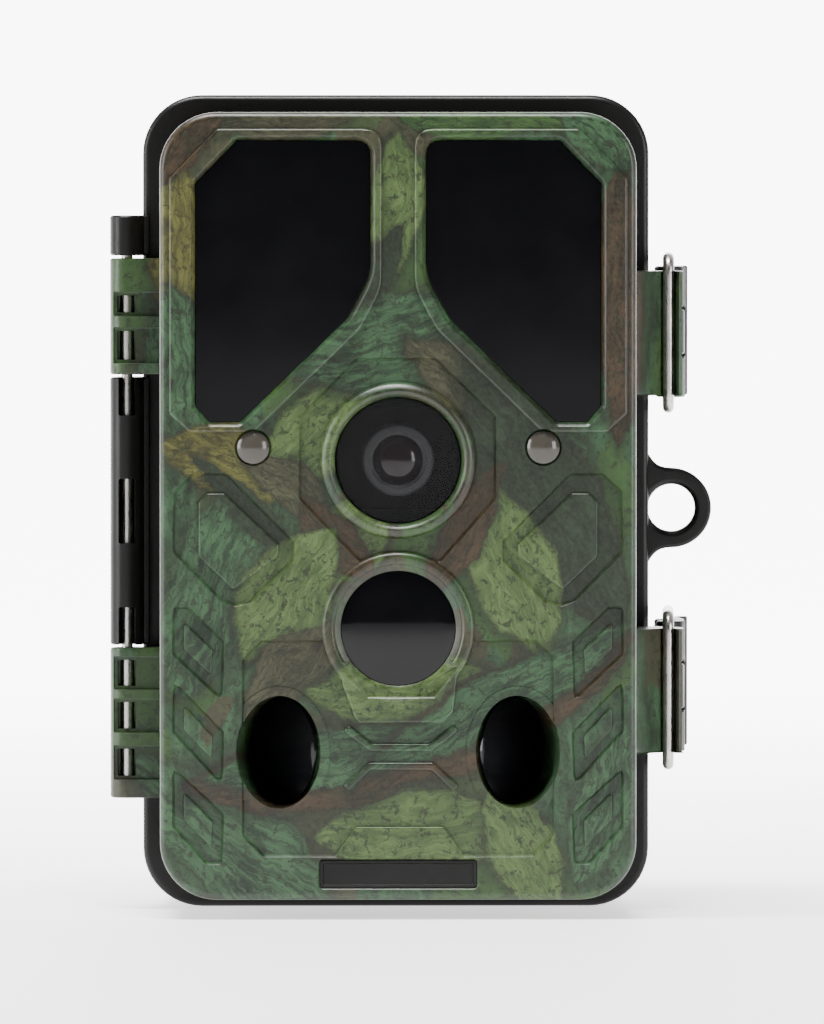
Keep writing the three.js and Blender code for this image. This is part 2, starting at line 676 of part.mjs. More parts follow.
// The seal between the halves, or the groove for it when it is made larger all round.
function gasketRing(extra) {
  const inset = 0.55 - extra;
  const band = 1.5 + 2 * extra;
  const coverOutline = (step) =>
    roundedRect(coverWidth - 2 * step, coverHeight - 2 * step, coverRadius - step, 0, middleZ);
  const ring = coverOutline(inset);
  ring.holes.push(new THREE.Path(coverOutline(inset + band).getPoints(4)));
  return frontPrism(ring, partingY - 0.1 - extra, partingY + 1.2 + extra, 4);
}

// ---- Rear shell: latches ----
function buildLatch(level, centreZ) {
  const leverPin = uprightRod(pinRadius, latchX, leverPivotY, centreZ - 9, centreZ + 9, 12);
  addPart(`lever_pin_${level}`, leverPin, steel);

  const tipY = leverPivotY + 21;
  const profile = outline([
    [49.7, leverPivotY - 0.6], [51.7, leverPivotY - 0.6], [51.9, leverPivotY + 10], [51, tipY - 3],
    [53.2, tipY], [51.6, tipY + 0.6], [48.8, tipY - 3], [49.7, leverPivotY + 10],
  ]);
  const plate = uprightPrism(profile, centreZ - leverHalf, centreZ + leverHalf);
  const notch = box(45, 53, leverPivotY - 4, leverPivotY + 3.6, centreZ - 4.4, centreZ + 4.4);
  const knuckle = (z0, z1) => uprightRod(2.5, latchX, leverPivotY, z0, z1, 16);
  const cheek = (z0, z1) => uprightRod(2.5, latchX, bailPivotY, z0, z1, 16)
    .add(box(latchX, 50.5, bailPivotY - 2.5, bailPivotY + 2.5, z0, z1));
  const lever = cut(joined([
    plate.subtract(notch),
    knuckle(centreZ + 4.4, centreZ + leverHalf),
    knuckle(centreZ - leverHalf, centreZ - 4.4),
    cheek(centreZ + leverHalf - 3, centreZ + leverHalf),
    cheek(centreZ - leverHalf, centreZ - leverHalf + 3),
  ]), [
    uprightRod(pinRadius + gap, latchX, leverPivotY, centreZ - 9.4, centreZ + 9.4, 12),
    uprightRod(wireRadius + gap, latchX, bailPivotY, centreZ - 12, centreZ - leverHalf + 3.4, 12),
    uprightRod(wireRadius + gap, latchX, bailPivotY, centreZ + leverHalf - 3.4, centreZ + 12, 12),
  ]);
  addPart(`latch_lever_${level}`, lever, blackPlastic);
  addPart(`latch_bail_${level}`, bailWire(centreZ), steel);
}

// A wire loop: two short ends in the lever, two arms and the bar that hooks on the cover.
function bailWire(centreZ) {
  const pivot = new THREE.Vector2(latchX, bailPivotY);
  const bar = new THREE.Vector2(latchBarX, latchBarY);
  const along = bar.clone().sub(pivot).normalize();
  const reach = pivot.distanceTo(bar);
  const at = (distance, z) =>
    new THREE.Vector3(pivot.x + along.x * distance, pivot.y + along.y * distance, centreZ + z);
  const endZ = leverHalf - 2.6;
  // Each corner is [distance, z, rounding], after the start of the wire and before its end.
  const corners = [[0, -bailHalf, 1.1], [reach, -bailHalf, 2.6], [reach, bailHalf, 2.6], [0, bailHalf, 1.1]];
  const path = new THREE.CurvePath();
  const stops = [[0, -endZ], ...corners, [0, endZ]];
  const toward = ([d0, z0], [d1, z1], step) => {
    const length = Math.hypot(d1 - d0, z1 - z0);
    return at(d0 + ((d1 - d0) * step) / length, z0 + ((z1 - z0) * step) / length);
  };
  let last = at(0, -endZ);
  corners.forEach((corner, i) => {
    const [distance, z, rounding] = corner;
    const entry = toward(corner, stops[i], rounding);
    const exit = toward(corner, stops[i + 2], rounding);
    path.add(new THREE.LineCurve3(last, entry));
    path.add(new THREE.QuadraticBezierCurve3(entry, at(distance, z), exit));
    last = exit;
  });
  path.add(new THREE.LineCurve3(last, at(0, endZ)));
  const section = new THREE.Shape().absarc(0, 0, wireRadius, 0, 2 * Math.PI);
  return solidOf(new THREE.ExtrudeGeometry(section, { steps: 46, curveSegments: 4, extrudePath: path }));
}

// ---- Rear shell: what it carries ----
function buildRearFittings() {
  addPart('housing_gasket', gasketRing(0), rubber);
  addPart('hinge_pin', uprightRod(pinRadius, hingeX, hingeY, 20.4, 121.4, 16), steel);

  const tube = (inner, outer, low, high) =>
    [[inner, low], [outer, low], [outer, high], [inner, high], [inner, low]];
  const insert = lathed(tube(2.6, tripod.radius, 0.4, tripod.depth), 24);
  insert.rotateX(Math.PI / 2);
  insert.translate(0, tripod.y, 0);
  addPart('tripod_insert', solidOf(insert), brass);

  const sideways = (profile, x) => {
    const geometry = lathed(profile, 20);
    geometry.rotateZ(-Math.PI / 2);
    geometry.translate(x, jack.y, jack.z);
    return solidOf(geometry);
  };
  addPart('dc_jack', sideways(tube(2.7, 4, -8, 0), 42.2), blackPlastic);
  const plug = [[0, -6], [2.3, -6], [2.4, 0.3], [4, 0.3], [4, 2], [0, 2]];
  addPart('jack_plug', sideways(plug, 42.4), rubber);
}

function buildBatteries() {
  const trayBackY = rearBackY - rearWall - gap;
  const columns = [-1.5, -0.5, 0.5, 1.5].map((i) => i * cellPitch);
  const trayTop = cellRows[1] + cellLength + 2.6;
  const trayBottom = cellRows[0] - 2.6;
  const channels = columns.flatMap((x) => cellRows.map((low) =>
    uprightRod(cellRadius + gap, x, cellY, low - 1.6, low + cellLength + 1.6, 24)));
  const tray = box(-32.6, 32.6, cellY, trayBackY, trayBottom, trayTop);
  addPart('battery_tray', cut(tray, channels), blackPlastic);

  const places = cellRows.flatMap((low) => columns.map((x) => [x, low]));
  places.forEach(([x, low], i) => {
    const body = uprightRod(cellRadius, x, cellY, low, low + cellLength - 1, 24);
    const button = uprightRod(2.7, x, cellY, low + cellLength - 1.5, low + cellLength, 16);
    addPart(`battery_cell_${i + 1}`, body.add(button), cellWrap);
  });

  const lowerTop = cellRows[0] + cellLength;
  const upperTop = cellRows[1] + cellLength;
  const strips = {
    bottom: cellRows[0] - 1.3,
    middle: (lowerTop + cellRows[1]) / 2,
    top: upperTop + 0.9,
  };
  for (const [name, z] of Object.entries(strips)) {
    const strip = box(-30, 30, cellY - 6.4, cellY - 0.4, z - 0.3, z + 0.3);
    addPart(`battery_contacts_${name}`, strip, steel);
  }
}

addPart('front_shell', buildFrontShell(), camouflage);
buildFaceFittings();
buildCameraModule();
buildLedBoards();
buildMotionSensors();
buildControlPanel();
buildElectronics();
addPart('rear_shell', buildRearShell(), blackPlastic);
for (const [level, centreZ] of Object.entries(latchHeights)) buildLatch(level, centreZ);
buildRearFittings();
buildBatteries();

export default model;
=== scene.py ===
"""Looks of the trail camera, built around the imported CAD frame.

Shapes are drawn in millimetres in the frame's axes: the lens faces -Y, +X is to the right and
+Z is up. An outline is a list of [x, z] points seen from the front, going anticlockwise.
"""
import math

import bmesh
import bpy
from mathutils import Matrix, Vector


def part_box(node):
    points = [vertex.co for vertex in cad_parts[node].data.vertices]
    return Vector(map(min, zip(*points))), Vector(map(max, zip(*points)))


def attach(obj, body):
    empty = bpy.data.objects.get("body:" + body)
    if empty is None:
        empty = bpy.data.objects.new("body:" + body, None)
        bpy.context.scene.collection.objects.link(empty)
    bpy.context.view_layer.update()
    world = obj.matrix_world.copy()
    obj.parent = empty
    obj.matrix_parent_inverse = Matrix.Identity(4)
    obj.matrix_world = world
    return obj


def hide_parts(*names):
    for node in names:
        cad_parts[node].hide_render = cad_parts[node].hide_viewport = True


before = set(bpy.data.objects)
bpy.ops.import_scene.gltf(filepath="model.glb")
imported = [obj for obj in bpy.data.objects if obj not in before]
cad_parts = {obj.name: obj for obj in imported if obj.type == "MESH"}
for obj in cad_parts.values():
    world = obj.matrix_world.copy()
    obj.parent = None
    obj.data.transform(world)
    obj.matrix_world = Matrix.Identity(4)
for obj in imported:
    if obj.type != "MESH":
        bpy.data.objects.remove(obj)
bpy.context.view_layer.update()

MM = 0.001


def box_mm(node):
    """A CAD node's lowest and highest corners in millimetres."""
    low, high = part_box(node)
    return Vector(low) / MM, Vector(high) / MM


# ---- Driving sizes, from the frame ----
RIM_Y = box_mm("front_shell")[1].y
FACE_Y = box_mm("ir_window_left")[0].y - 0.5
PARTING_Y = RIM_Y + 0.4
REAR_TOP = box_mm("rear_shell")[1].z
RAIL_TIP_Y = box_mm("rear_shell")[1].y
MIDDLE_Z = REAR_TOP / 2
COVER_LOW_Z = box_mm("front_shell")[0].z
COVER_HEIGHT = REAR_TOP - 2 * COVER_LOW_Z
COVER_WIDTH = 83.5
COVER_RADIUS = 10
COVER_WALL = 2.3
FLANGE_WIDTH = 90
FLANGE_DEPTH = 7
REAR_WIDTH = 86
REAR_HEIGHT = 142.5
REAR_BACK_Y = PARTING_Y + 30
LENS_X = 0.0
LENS_Z = (box_mm("lens_window")[0].z + box_mm("lens_window")[1].z) / 2
SENSOR_Z = (box_mm("pir_lens_centre")[0].z + box_mm("pir_lens_centre")[1].z) / 2
DOME_X = box_mm("light_sensor_dome")[0].x + 2.8
DOME_Z = box_mm("light_sensor_dome")[0].z + 2.8
SIDE_X = 20.0
SIDE_Y = FACE_Y + 8
SIDE_Z = 29.2
SIDE_TURN = math.radians(53)
HINGE_X = -47.8
HINGE_BORE = (20, 121.8)
PIN_BORE_RADIUS = 1.3
HINGE_Y = PARTING_Y - 3.5
HINGE_RADIUS = 3.0
LATCH_X = 49.0
LEVER_PIVOT_Y = PARTING_Y + 6
BAIL_PIVOT_Y = PARTING_Y + 14
LATCH_BAR = (48.1, PARTING_Y - 10.6)
LATCH_HEIGHTS = {"upper": 102.3, "lower": 39.0}
PANEL_FRONT_Y, PANEL_BACK_Y = (box_mm("inner_panel")[i].y for i in (0, 1))


# ---- Outlines ----
def rounded(points, radius, steps=4):
    """Rounds the corners of an outline. radius is one number, or one for each corner."""
    radii = radius if isinstance(radius, (list, tuple)) else [radius] * len(points)
    result = []
    for i, (point, corner_radius) in enumerate(zip(points, radii)):
        corner = Vector(point)
        before = Vector(points[i - 1]) - corner
        after = Vector(points[(i + 1) % len(points)]) - corner
        turn = math.pi - before.angle(after)
        if corner_radius <= 0 or turn < 0.05:
            result.append(tuple(corner))
            continue
        reach = min(corner_radius * math.tan(turn / 2), 0.48 * before.length, 0.48 * after.length)
        start = corner + before.normalized() * reach
        end = corner + after.normalized() * reach
        for k in range(steps + 1):
            s = k / steps
            bend = start * (1 - s) ** 2 + corner * 2 * s * (1 - s) + end * s ** 2
            result.append(tuple(bend))
    return result


def rectangle(width, height, radius, x=0.0, z=0.0, steps=8):
    """A rounded rectangle about (x, z), with true arcs."""
    result = []
    for corner, (sx, sz) in enumerate(((1, -1), (1, 1), (-1, 1), (-1, -1))):
        for k in range(steps + 1):
            angle = math.radians(90 * (corner - 1 + k / steps))
            result.append((x + sx * (width / 2 - radius) + radius * math.cos(angle),
                           z + sz * (height / 2 - radius) + radius * math.sin(angle)))
    return result


def ellipse(radius_x, radius_z, x=0.0, z=0.0, steps=64):
    turns = (2 * math.pi * k / steps for k in range(steps))
    return [(x + radius_x * math.cos(a), z + radius_z * math.sin(a)) for a in turns]


def mirrored(points):
    return [(-x, z) for x, z in reversed(points)]


def grown(points, distance):
    """Moves an anticlockwise outline outwards by a distance, along its mitres."""
    result = []
    for i, point in enumerate(points):
        before = (Vector(point) - Vector(points[i - 1])).normalized()
        after = (Vector(points[(i + 1) % len(points)]) - Vector(point)).normalized()
        normal = Vector((before.y + after.y, -before.x - after.x)).normalized()
        reach = distance / max(0.3, normal.x * after.y - normal.y * after.x)
        result.append((point[0] + normal.x * reach, point[1] + normal.y * reach))
    return result


def bar_outline(path, width):
    """A flat bar of one width along an open path, with half-round ends."""
    left, right = [], []
    for i, point in enumerate(path):
        here = Vector(point)
        ahead = Vector(path[min(i + 1, len(path) - 1)]) - Vector(path[max(i - 1, 0)])
        side = Vector((-ahead.y, ahead.x)).normalized() * width / 2
        left.append(tuple(here + side))
        right.append(tuple(here - side))
    return rounded(right + left[::-1], width * 0.45)


# ---- Meshes ----
def new_object(name, bm):
    mesh = bpy.data.meshes.new(name)
    bmesh.ops.recalc_face_normals(bm, faces=bm.faces)
    bm.to_mesh(mesh)
    bm.free()
    piece = bpy.data.objects.new(name, mesh)
    bpy.context.scene.collection.objects.link(piece)
    return piece


def loft(name, rings):
    """A closed solid skinned through rings of equal length, capped at both ends."""
    bm = bmesh.new()
    rows = [[bm.verts.new(Vector(point) * MM) for point in ring] for ring in rings]
    count = len(rings[0])
    for row, following in zip(rows, rows[1:]):
        for i in range(count):
            j = (i + 1) % count
            bm.faces.new((row[i], row[j], following[j], following[i]))
    bm.faces.new(rows[0][::-1])
    bm.faces.new(rows[-1])
    return new_object(name, bm)


def facing(outline, y):
    return [(x, y, z) for x, z in outline]


def edge_steps(edge, steps=3):
    """(inset, drop) pairs of a quarter-round edge, from the side wall to the top."""
    angles = [math.pi / 2 * k / steps for k in range(steps + 1)]
    return [(edge * (1 - math.cos(a)), edge * (1 - math.sin(a))) for a in angles]


def plate(name, outline, front_y, back_y, front_edge=0.3, back_edge=0.0, steps=3):
    """A prism seen from the front, with quarter-round front and back edges."""
    if front_edge:
        front_steps = reversed(edge_steps(front_edge, steps))
        rings = [facing(grown(outline, -inset), front_y + drop) for inset, drop in front_steps]
    else:
        rings = [facing(outline, front_y)]
    if back_edge:
        back_steps = edge_steps(back_edge, steps)
        rings += [facing(grown(outline, -inset), back_y - drop) for inset, drop in back_steps]
    else:
        rings.append(facing(outline, back_y))
    return loft(name, rings)


def pocket(name, outline, floor_y, face_y, slope=0.3, lip=0.12):
    """A cutter for a recess: its walls lean in by slope, and its rim has a small lip."""
    depth = floor_y - face_y
    return loft(name, [
        facing(grown(outline, lip + 0.4), face_y - 0.4),
        facing(grown(outline, lip), face_y),
        facing(outline, face_y + lip),
        facing(grown(outline, -slope), face_y + depth),
    ])


def upright(name, outline, z0, z1, edge=0.3, steps=2):
    """A prism standing on an [x, y] outline, with quarter-round top and bottom edges."""
    def level(inset, z):
        return [(x, y, z) for x, y in grown(outline, -inset)]
    rings = [level(inset, z0 + drop) for inset, drop in reversed(edge_steps(edge, steps))]
    rings += [level(inset, z1 - drop) for inset, drop in edge_steps(edge, steps)]
    return loft(name, rings)


def block(name, x0, x1, y0, y1, z0, z1, edge=0.2):
    outline = rounded([(x0, y0), (x1, y0), (x1, y1), (x0, y1)], edge, 2)
    return upright(name, outline, z0, z1, edge)


def turned(name, profile, centre, axis=(0, -1, 0), segments=64):
    """A body of revolution. profile is [radius, height] from bottom to top along axis."""
    bm = bmesh.new()
    rows = []
    for radius, height in profile:
        if radius <= 0:
            rows.append([bm.verts.new((0, 0, height * MM))])
            continue
        turns = (2 * math.pi * k / segments for k in range(segments))
        rows.append([bm.verts.new((radius * math.cos(a) * MM, radius * math.sin(a) * MM, height * MM))
                     for a in turns])
    pairs = list(zip(rows, rows[1:]))
    if len(rows[0]) > 1:
        pairs.append((rows[-1], rows[0]))
    for row, following in pairs:
        for i in range(segments):
            j = (i + 1) % segments
            corners = [row[i % len(row)], row[j % len(row)], following[j % len(following)],
                       following[i % len(following)]]
            unique = [v for k, v in enumerate(corners) if v not in corners[:k]]
            if len(unique) > 2:
                bm.faces.new(unique)
    piece = new_object(name, bm)
    turn = Vector((0, 0, 1)).rotation_difference(Vector(axis)).to_matrix().to_4x4()
    piece.data.transform(Matrix.Translation(Vector(centre) * MM) @ turn)
    return piece


def domed(radius, height, base=0.0, rings=8):
    """Profile points of a spherical cap, from its rim to its top."""
    sphere = (radius ** 2 + height ** 2) / (2 * height)
    reach = math.asin(min(1.0, radius / sphere))
    angles = [reach * (1 - k / rings) for k in range(rings + 1)]
    points = [(sphere * math.sin(a), base + height - sphere * (1 - math.cos(a))) for a in angles]
    return points[:-1] + [(0, base + height)]


def tube(name, path, radius, sides=16):
    """A round wire along a planar path."""
    points = [Vector(point) for point in path]
    normal = (points[1] - points[0]).cross(points[len(points) // 2] - points[0]).normalized()
    rings = []
    for i, point in enumerate(points):
        ahead = (points[min(i + 1, len(points) - 1)] - points[max(i - 1, 0)]).normalized()
        side = ahead.cross(normal)
        turns = (2 * math.pi * k / sides for k in range(sides))
        rings.append([tuple(point + (side * math.cos(a) + normal * math.sin(a)) * radius) for a in turns])
    return loft(name, rings)


def flipped(piece):
    """A mirror image of a piece across the plane x = 0."""
    twin = bpy.data.objects.new(piece.name + "_mirror", piece.data.copy())
    bpy.context.scene.collection.objects.link(twin)
    bm = bmesh.new()
    bm.from_mesh(twin.data)
    bmesh.ops.transform(bm, matrix=Matrix.Scale(-1, 4, (1, 0, 0)), verts=bm.verts)
    bmesh.ops.reverse_faces(bm, faces=bm.faces)
    bm.to_mesh(twin.data)
    bm.free()
    return twin


def combined(target, tools, operation, solver="MANIFOLD"):
    """Adds tools to the target or cuts them from it, and removes them."""
    for tool in tools:
        step = target.modifiers.new(tool.name, "BOOLEAN")
        step.object = tool
        step.operation = operation
        step.solver = solver
    depsgraph = bpy.context.evaluated_depsgraph_get()
    mesh = bpy.data.meshes.new_from_object(target.evaluated_get(depsgraph))
    target.modifiers.clear()
    target.data = mesh
    for tool in tools:
        bpy.data.objects.remove(tool)
    return target


def added(target, *tools, solver="MANIFOLD"):
    return combined(target, tools, "UNION", solver)


def cut(target, *tools, solver="MANIFOLD"):
    return combined(target, tools, "DIFFERENCE", solver)


def smoothed(piece, angle=38):
    """Smooth shading with sharp edges over an angle, weighted so that flat faces stay flat."""
    bm = bmesh.new()
    bm.from_mesh(piece.data)
    bmesh.ops.remove_doubles(bm, verts=bm.verts, dist=0.002 * MM)
    limit = math.radians(angle)
    for face in bm.faces:
        face.smooth = True
    for edge in bm.edges:
        edge.smooth = len(edge.link_faces) == 2 and edge.calc_face_angle(0) < limit
    bm.to_mesh(piece.data)
    bm.free()
    weights = piece.modifiers.new("weighted normals", "WEIGHTED_NORMAL")
    weights.keep_sharp = True
    weights.weight = 80
    return piece


def finished(piece, material, body, *nodes, slot=None, angle=38):
    """Smooths a piece, gives it its material and body, and lets it stand for CAD nodes."""
    smoothed(piece, angle)
    piece.data.materials.clear()
    piece.data.materials.append(material)
    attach(piece, body)
    if nodes:
        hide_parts(*nodes)
    return piece


# ---- Materials ----
class NodeTree:
    """A small builder of shader nodes in one tree."""

    def __init__(self, tree):
        self.tree = tree

    def node(self, kind, **values):
        made = self.tree.nodes.new(kind)
        for key, value in values.items():
            setattr(made, key, value)
        return made

    def link(self, source, target):
        self.tree.links.new(source, target)

    def feed(self, node, **inputs):
        """Sets or links a node's inputs by name, with _ for a space."""
        for key, value in inputs.items():
            socket = node.inputs[key.replace("_", " ")]
            if isinstance(value, bpy.types.NodeSocket):
                self.link(value, socket)
            else:
                socket.default_value = value
        return node

    def place(self):
        return self.node("ShaderNodeTexCoord").outputs["Object"]

    def noise(self, place, scale, detail=4.0, roughness=0.55, distortion=0.0):
        made = self.node("ShaderNodeTexNoise")
        self.feed(made, Vector=place, Scale=scale, Detail=detail, Roughness=roughness, Distortion=distortion)
        return made.outputs["Fac"]

    def math(self, operation, first, second=0.0, clamp=False):
        made = self.node("ShaderNodeMath", operation=operation, use_clamp=clamp)
        for socket, value in zip(made.inputs, (first, second)):
            if isinstance(value, bpy.types.NodeSocket):
                self.link(value, socket)
            else:
                socket.default_value = value
        return made.outputs[0]

    def step(self, value, low, high, to_low=0.0, to_high=1.0):
        """Maps low..high of a value to to_low..to_high, clamped."""
        made = self.node("ShaderNodeMapRange")
        self.feed(made, Value=value, From_Min=low, From_Max=high, To_Min=to_low, To_Max=to_high)
        return made.outputs[0]

    def mix(self, amount, first, second, blend="MIX"):
        made = self.node("ShaderNodeMix", data_type="RGBA", blend_type=blend)
        for socket, value in ((made.inputs[0], amount), (made.inputs[6], first), (made.inputs[7], second)):
            if isinstance(value, bpy.types.NodeSocket):
                self.link(value, socket)
            elif isinstance(value, (int, float)):
                socket.default_value = value
            else:
                socket.default_value = (*value, 1.0)
        return made.outputs[2]


class Shader(NodeTree):
    """A material around one Principled shader."""

    def __init__(self, name):
        self.material = bpy.data.materials.new(name)
        self.material.use_nodes = True
        super().__init__(self.material.node_tree)
        self.principled = self.tree.nodes["Principled BSDF"]

    def bump(self, height, distance, strength=1.0):
        made = self.node("ShaderNodeBump")
        self.feed(made, Height=height, Distance=distance, Strength=strength)
        self.link(made.outputs[0], self.principled.inputs["Normal"])

    def set(self, **inputs):
        self.feed(self.principled, **inputs)
        return self.material


def moulded_plastic(name, colour, roughness, grain=0.00004, wear=0.25):
    """Fine-textured moulded plastic, a little lighter and smoother in worn places."""
    shader = Shader(name)
    place = shader.place()
    cloud = shader.noise(place, 90, 3)
    fine = shader.noise(place, 2600, 2, 0.6)
    light = tuple(min(1.0, c * (1 + wear) + 0.001) for c in colour)
    tint = shader.mix(shader.step(cloud, 0.35, 0.65), colour, light)
    gloss = shader.step(cloud, 0.3, 0.7, roughness + 0.06, roughness - 0.05)
    shader.bump(fine, grain, 0.6)
    return shader.set(Base_Color=tint, Roughness=gloss, Metallic=0.0, Specular_IOR_Level=0.22)


def polished(name, colour, roughness=0.04, coat=0.3, specular=0.5):
    """Polished dark plastic, its tint and gloss slightly uneven."""
    shader = Shader(name)
    place = shader.place()
    haze = shader.noise(place, 120, 2)
    tint = shader.mix(haze, colour, tuple(min(1.0, c * 1.4 + 0.001) for c in colour))
    gloss = shader.step(shader.noise(place, 60, 2), 0.3, 0.7, roughness, roughness + 0.03)
    return shader.set(Base_Color=tint, Roughness=gloss, Metallic=0.0, Coat_Weight=coat,
                      Specular_IOR_Level=specular)


def drawn_metal(name, colour, roughness=0.28):
    """Drawn or turned metal with fine scratches."""
    shader = Shader(name)
    place = shader.place()
    stretch = shader.feed(shader.node("ShaderNodeMapping"), Vector=place, Scale=(1.0, 1.0, 0.08))
    scratch = shader.noise(stretch.outputs[0], 4200, 3, 0.7)
    cloud = shader.noise(place, 200, 3)
    dark = tuple(c * 0.72 for c in colour)
    tint = shader.mix(shader.step(cloud, 0.3, 0.7), dark, colour)
    gloss = shader.step(scratch, 0.3, 0.7, roughness - 0.06, roughness + 0.12)
    shader.bump(scratch, 0.00001, 0.5)
    return shader.set(Base_Color=tint, Roughness=gloss, Metallic=1.0)


black = moulded_plastic("black plastic", (0.0028, 0.0026, 0.0024), 0.36, wear=0.1)
grey = moulded_plastic("grey plastic", (0.05, 0.052, 0.056), 0.5)
soft_rubber = moulded_plastic("rubber", (0.02, 0.02, 0.021), 0.72)
acrylic = polished("dark acrylic", (0.0015, 0.0015, 0.002), 0.05, 0.0, 0.22)
dome_glass = polished("dome glass", (0.03, 0.027, 0.022), 0.16, 0.15, 0.3)
steel = drawn_metal("steel", (0.58, 0.56, 0.53))
brass = drawn_metal("brass", (0.72, 0.5, 0.2))


# ---- Camouflage print: leaves and bark laid over one another ----
LIGHT_GREEN = ((0.046, 0.08, 0.026), (0.122, 0.186, 0.07))
MID_GREEN = ((0.014, 0.04, 0.012), (0.06, 0.13, 0.04))
TEAL_BARK = ((0.006, 0.018, 0.011), (0.055, 0.13, 0.07))
DARK_LEAF = ((0.005, 0.011, 0.007), (0.022, 0.036, 0.025))
RUST = ((0.014, 0.007, 0.005), (0.07, 0.036, 0.023))
GREY_BROWN = ((0.02, 0.018, 0.012), (0.085, 0.078, 0.05))
OLIVE = ((0.045, 0.038, 0.01), (0.16, 0.15, 0.04))
WARP = 0.0075
INK_DEPTH = (0.47, 0.49, 0.4)
# Each is (x, z, half length, half width, turn in degrees, colours), from the lowest layer to the top.
LEAVES = [
    (-38, 117, 17, 7, 88, OLIVE), (-37.8, 95, 17, 8, 95, TEAL_BARK),
    (39.4, 108, 27, 5, 90, RUST), (-22.9, 139.6, 15, 3.4, 3, GREY_BROWN),
    (14.7, 139.8, 16, 3.4, -4, MID_GREEN), (-37, 137, 11, 5, 55, RUST),
    (34, 137.5, 9, 4, -45, TEAL_BARK), (-0.7, 124, 15, 5, 84, LIGHT_GREEN),
    (-4, 113, 10, 3.4, 62, DARK_LEAF), (22, 92, 18, 5, -46, TEAL_BARK),
    (-31, 59, 22, 10, 68, TEAL_BARK), (-28, 79.5, 15, 7, -14, OLIVE),
    (-13, 85, 15, 7.5, 34, LIGHT_GREEN), (-19, 76, 11, 4.2, -38, GREY_BROWN),
    (-26, 71, 15, 2.6, -44, DARK_LEAF), (0.7, 101, 23, 9, 12, TEAL_BARK),
    (13, 92, 15, 6, -42, GREY_BROWN), (26, 74, 30, 9.5, -60, DARK_LEAF),
    (-9, 66, 12, 7, 55, LIGHT_GREEN), (-11, 66.5, 10, 4.5, -52, RUST),
    (20.5, 60.5, 17, 8, -72, LIGHT_GREEN), (11.5, 68, 14, 4.4, 62, RUST),
    (-19, 57, 15, 8, 58, LIGHT_GREEN), (-18.5, 43.5, 12, 6, 48, GREY_BROWN),
    (0.7, 40, 17, 8, 4, LIGHT_GREEN), (-29, 13, 24, 9, -36, TEAL_BARK),
    (3, 15, 19, 7.5, 3, LIGHT_GREEN), (21.7, 12, 14, 6.5, -62, LIGHT_GREEN),
    (36, 20, 16, 6, 74, TEAL_BARK), (-12, 26, 27, 7.5, 9, RUST),
    (-10, 28, 25, 5, 10, TEAL_BARK), (17, 35.5, 29, 7.5, 27, RUST),
    (18, 38, 28, 5, 28, TEAL_BARK),
]


def leaf_group():
    """One printed leaf: veined, streaked, with a ragged dark edge and a soft shadow below it."""
    tree = bpy.data.node_groups.new("leaf", "ShaderNodeTree")
    for name, kind in (("Place", "Vector"), ("Under", "Color"), ("Centre", "Vector"), ("Turn", "Vector"),
                       ("Size", "Vector"), ("Dark", "Color"), ("Light", "Color")):
        tree.interface.new_socket(name=name, in_out="INPUT", socket_type=f"NodeSocket{kind}")
    tree.interface.new_socket(name="Colour", in_out="OUTPUT", socket_type="NodeSocketColor")
    nodes = NodeTree(tree)
    given = nodes.node("NodeGroupInput").outputs
    local = nodes.feed(nodes.node("ShaderNodeMapping", vector_type="TEXTURE"), Vector=given["Place"],
                       Location=given["Centre"], Rotation=given["Turn"], Scale=given["Size"]).outputs[0]
    axes = nodes.feed(nodes.node("ShaderNodeSeparateXYZ"), Vector=local).outputs
    across = nodes.math("ABSOLUTE", axes["Z"])
    inside = nodes.math("SUBTRACT", nodes.math("SUBTRACT", 1.0, nodes.math("POWER", axes["X"], 2.0)), across)
    stretched = nodes.feed(nodes.node("ShaderNodeMapping"), Vector=local, Scale=(1.6, 1.0, 7.0)).outputs[0]
    streak = nodes.noise(stretched, 2.0, 3, 0.7)
    ribs = nodes.math("SINE", nodes.math("MULTIPLY", nodes.math("ADD", axes["X"], across), 22.0))
    tone = nodes.math("ADD", nodes.step(streak, 0.36, 0.64), nodes.math("MULTIPLY", ribs, 0.09), clamp=True)
    blotch = nodes.step(nodes.noise(given["Place"], 130, 2), 0.35, 0.65, -0.3, 0.3)
    colour = nodes.mix(nodes.math("ADD", tone, blotch, clamp=True), given["Dark"], given["Light"])
    midrib = nodes.step(across, 0.02, 0.06, 0.75, 0.0)
    colour = nodes.mix(midrib, colour, given["Dark"])
    colour = nodes.mix(nodes.step(inside, 0.0, 0.14, 0.85, 0.0), colour, (0.012, 0.012, 0.008))
    shadow = nodes.mix(nodes.step(inside, -0.35, 0.0, 0.0, 0.6), given["Under"], (0.01, 0.015, 0.01))
    result = nodes.mix(nodes.step(inside, -0.01, 0.03), shadow, colour)
    nodes.link(result, nodes.node("NodeGroupOutput").inputs["Colour"])
    return tree


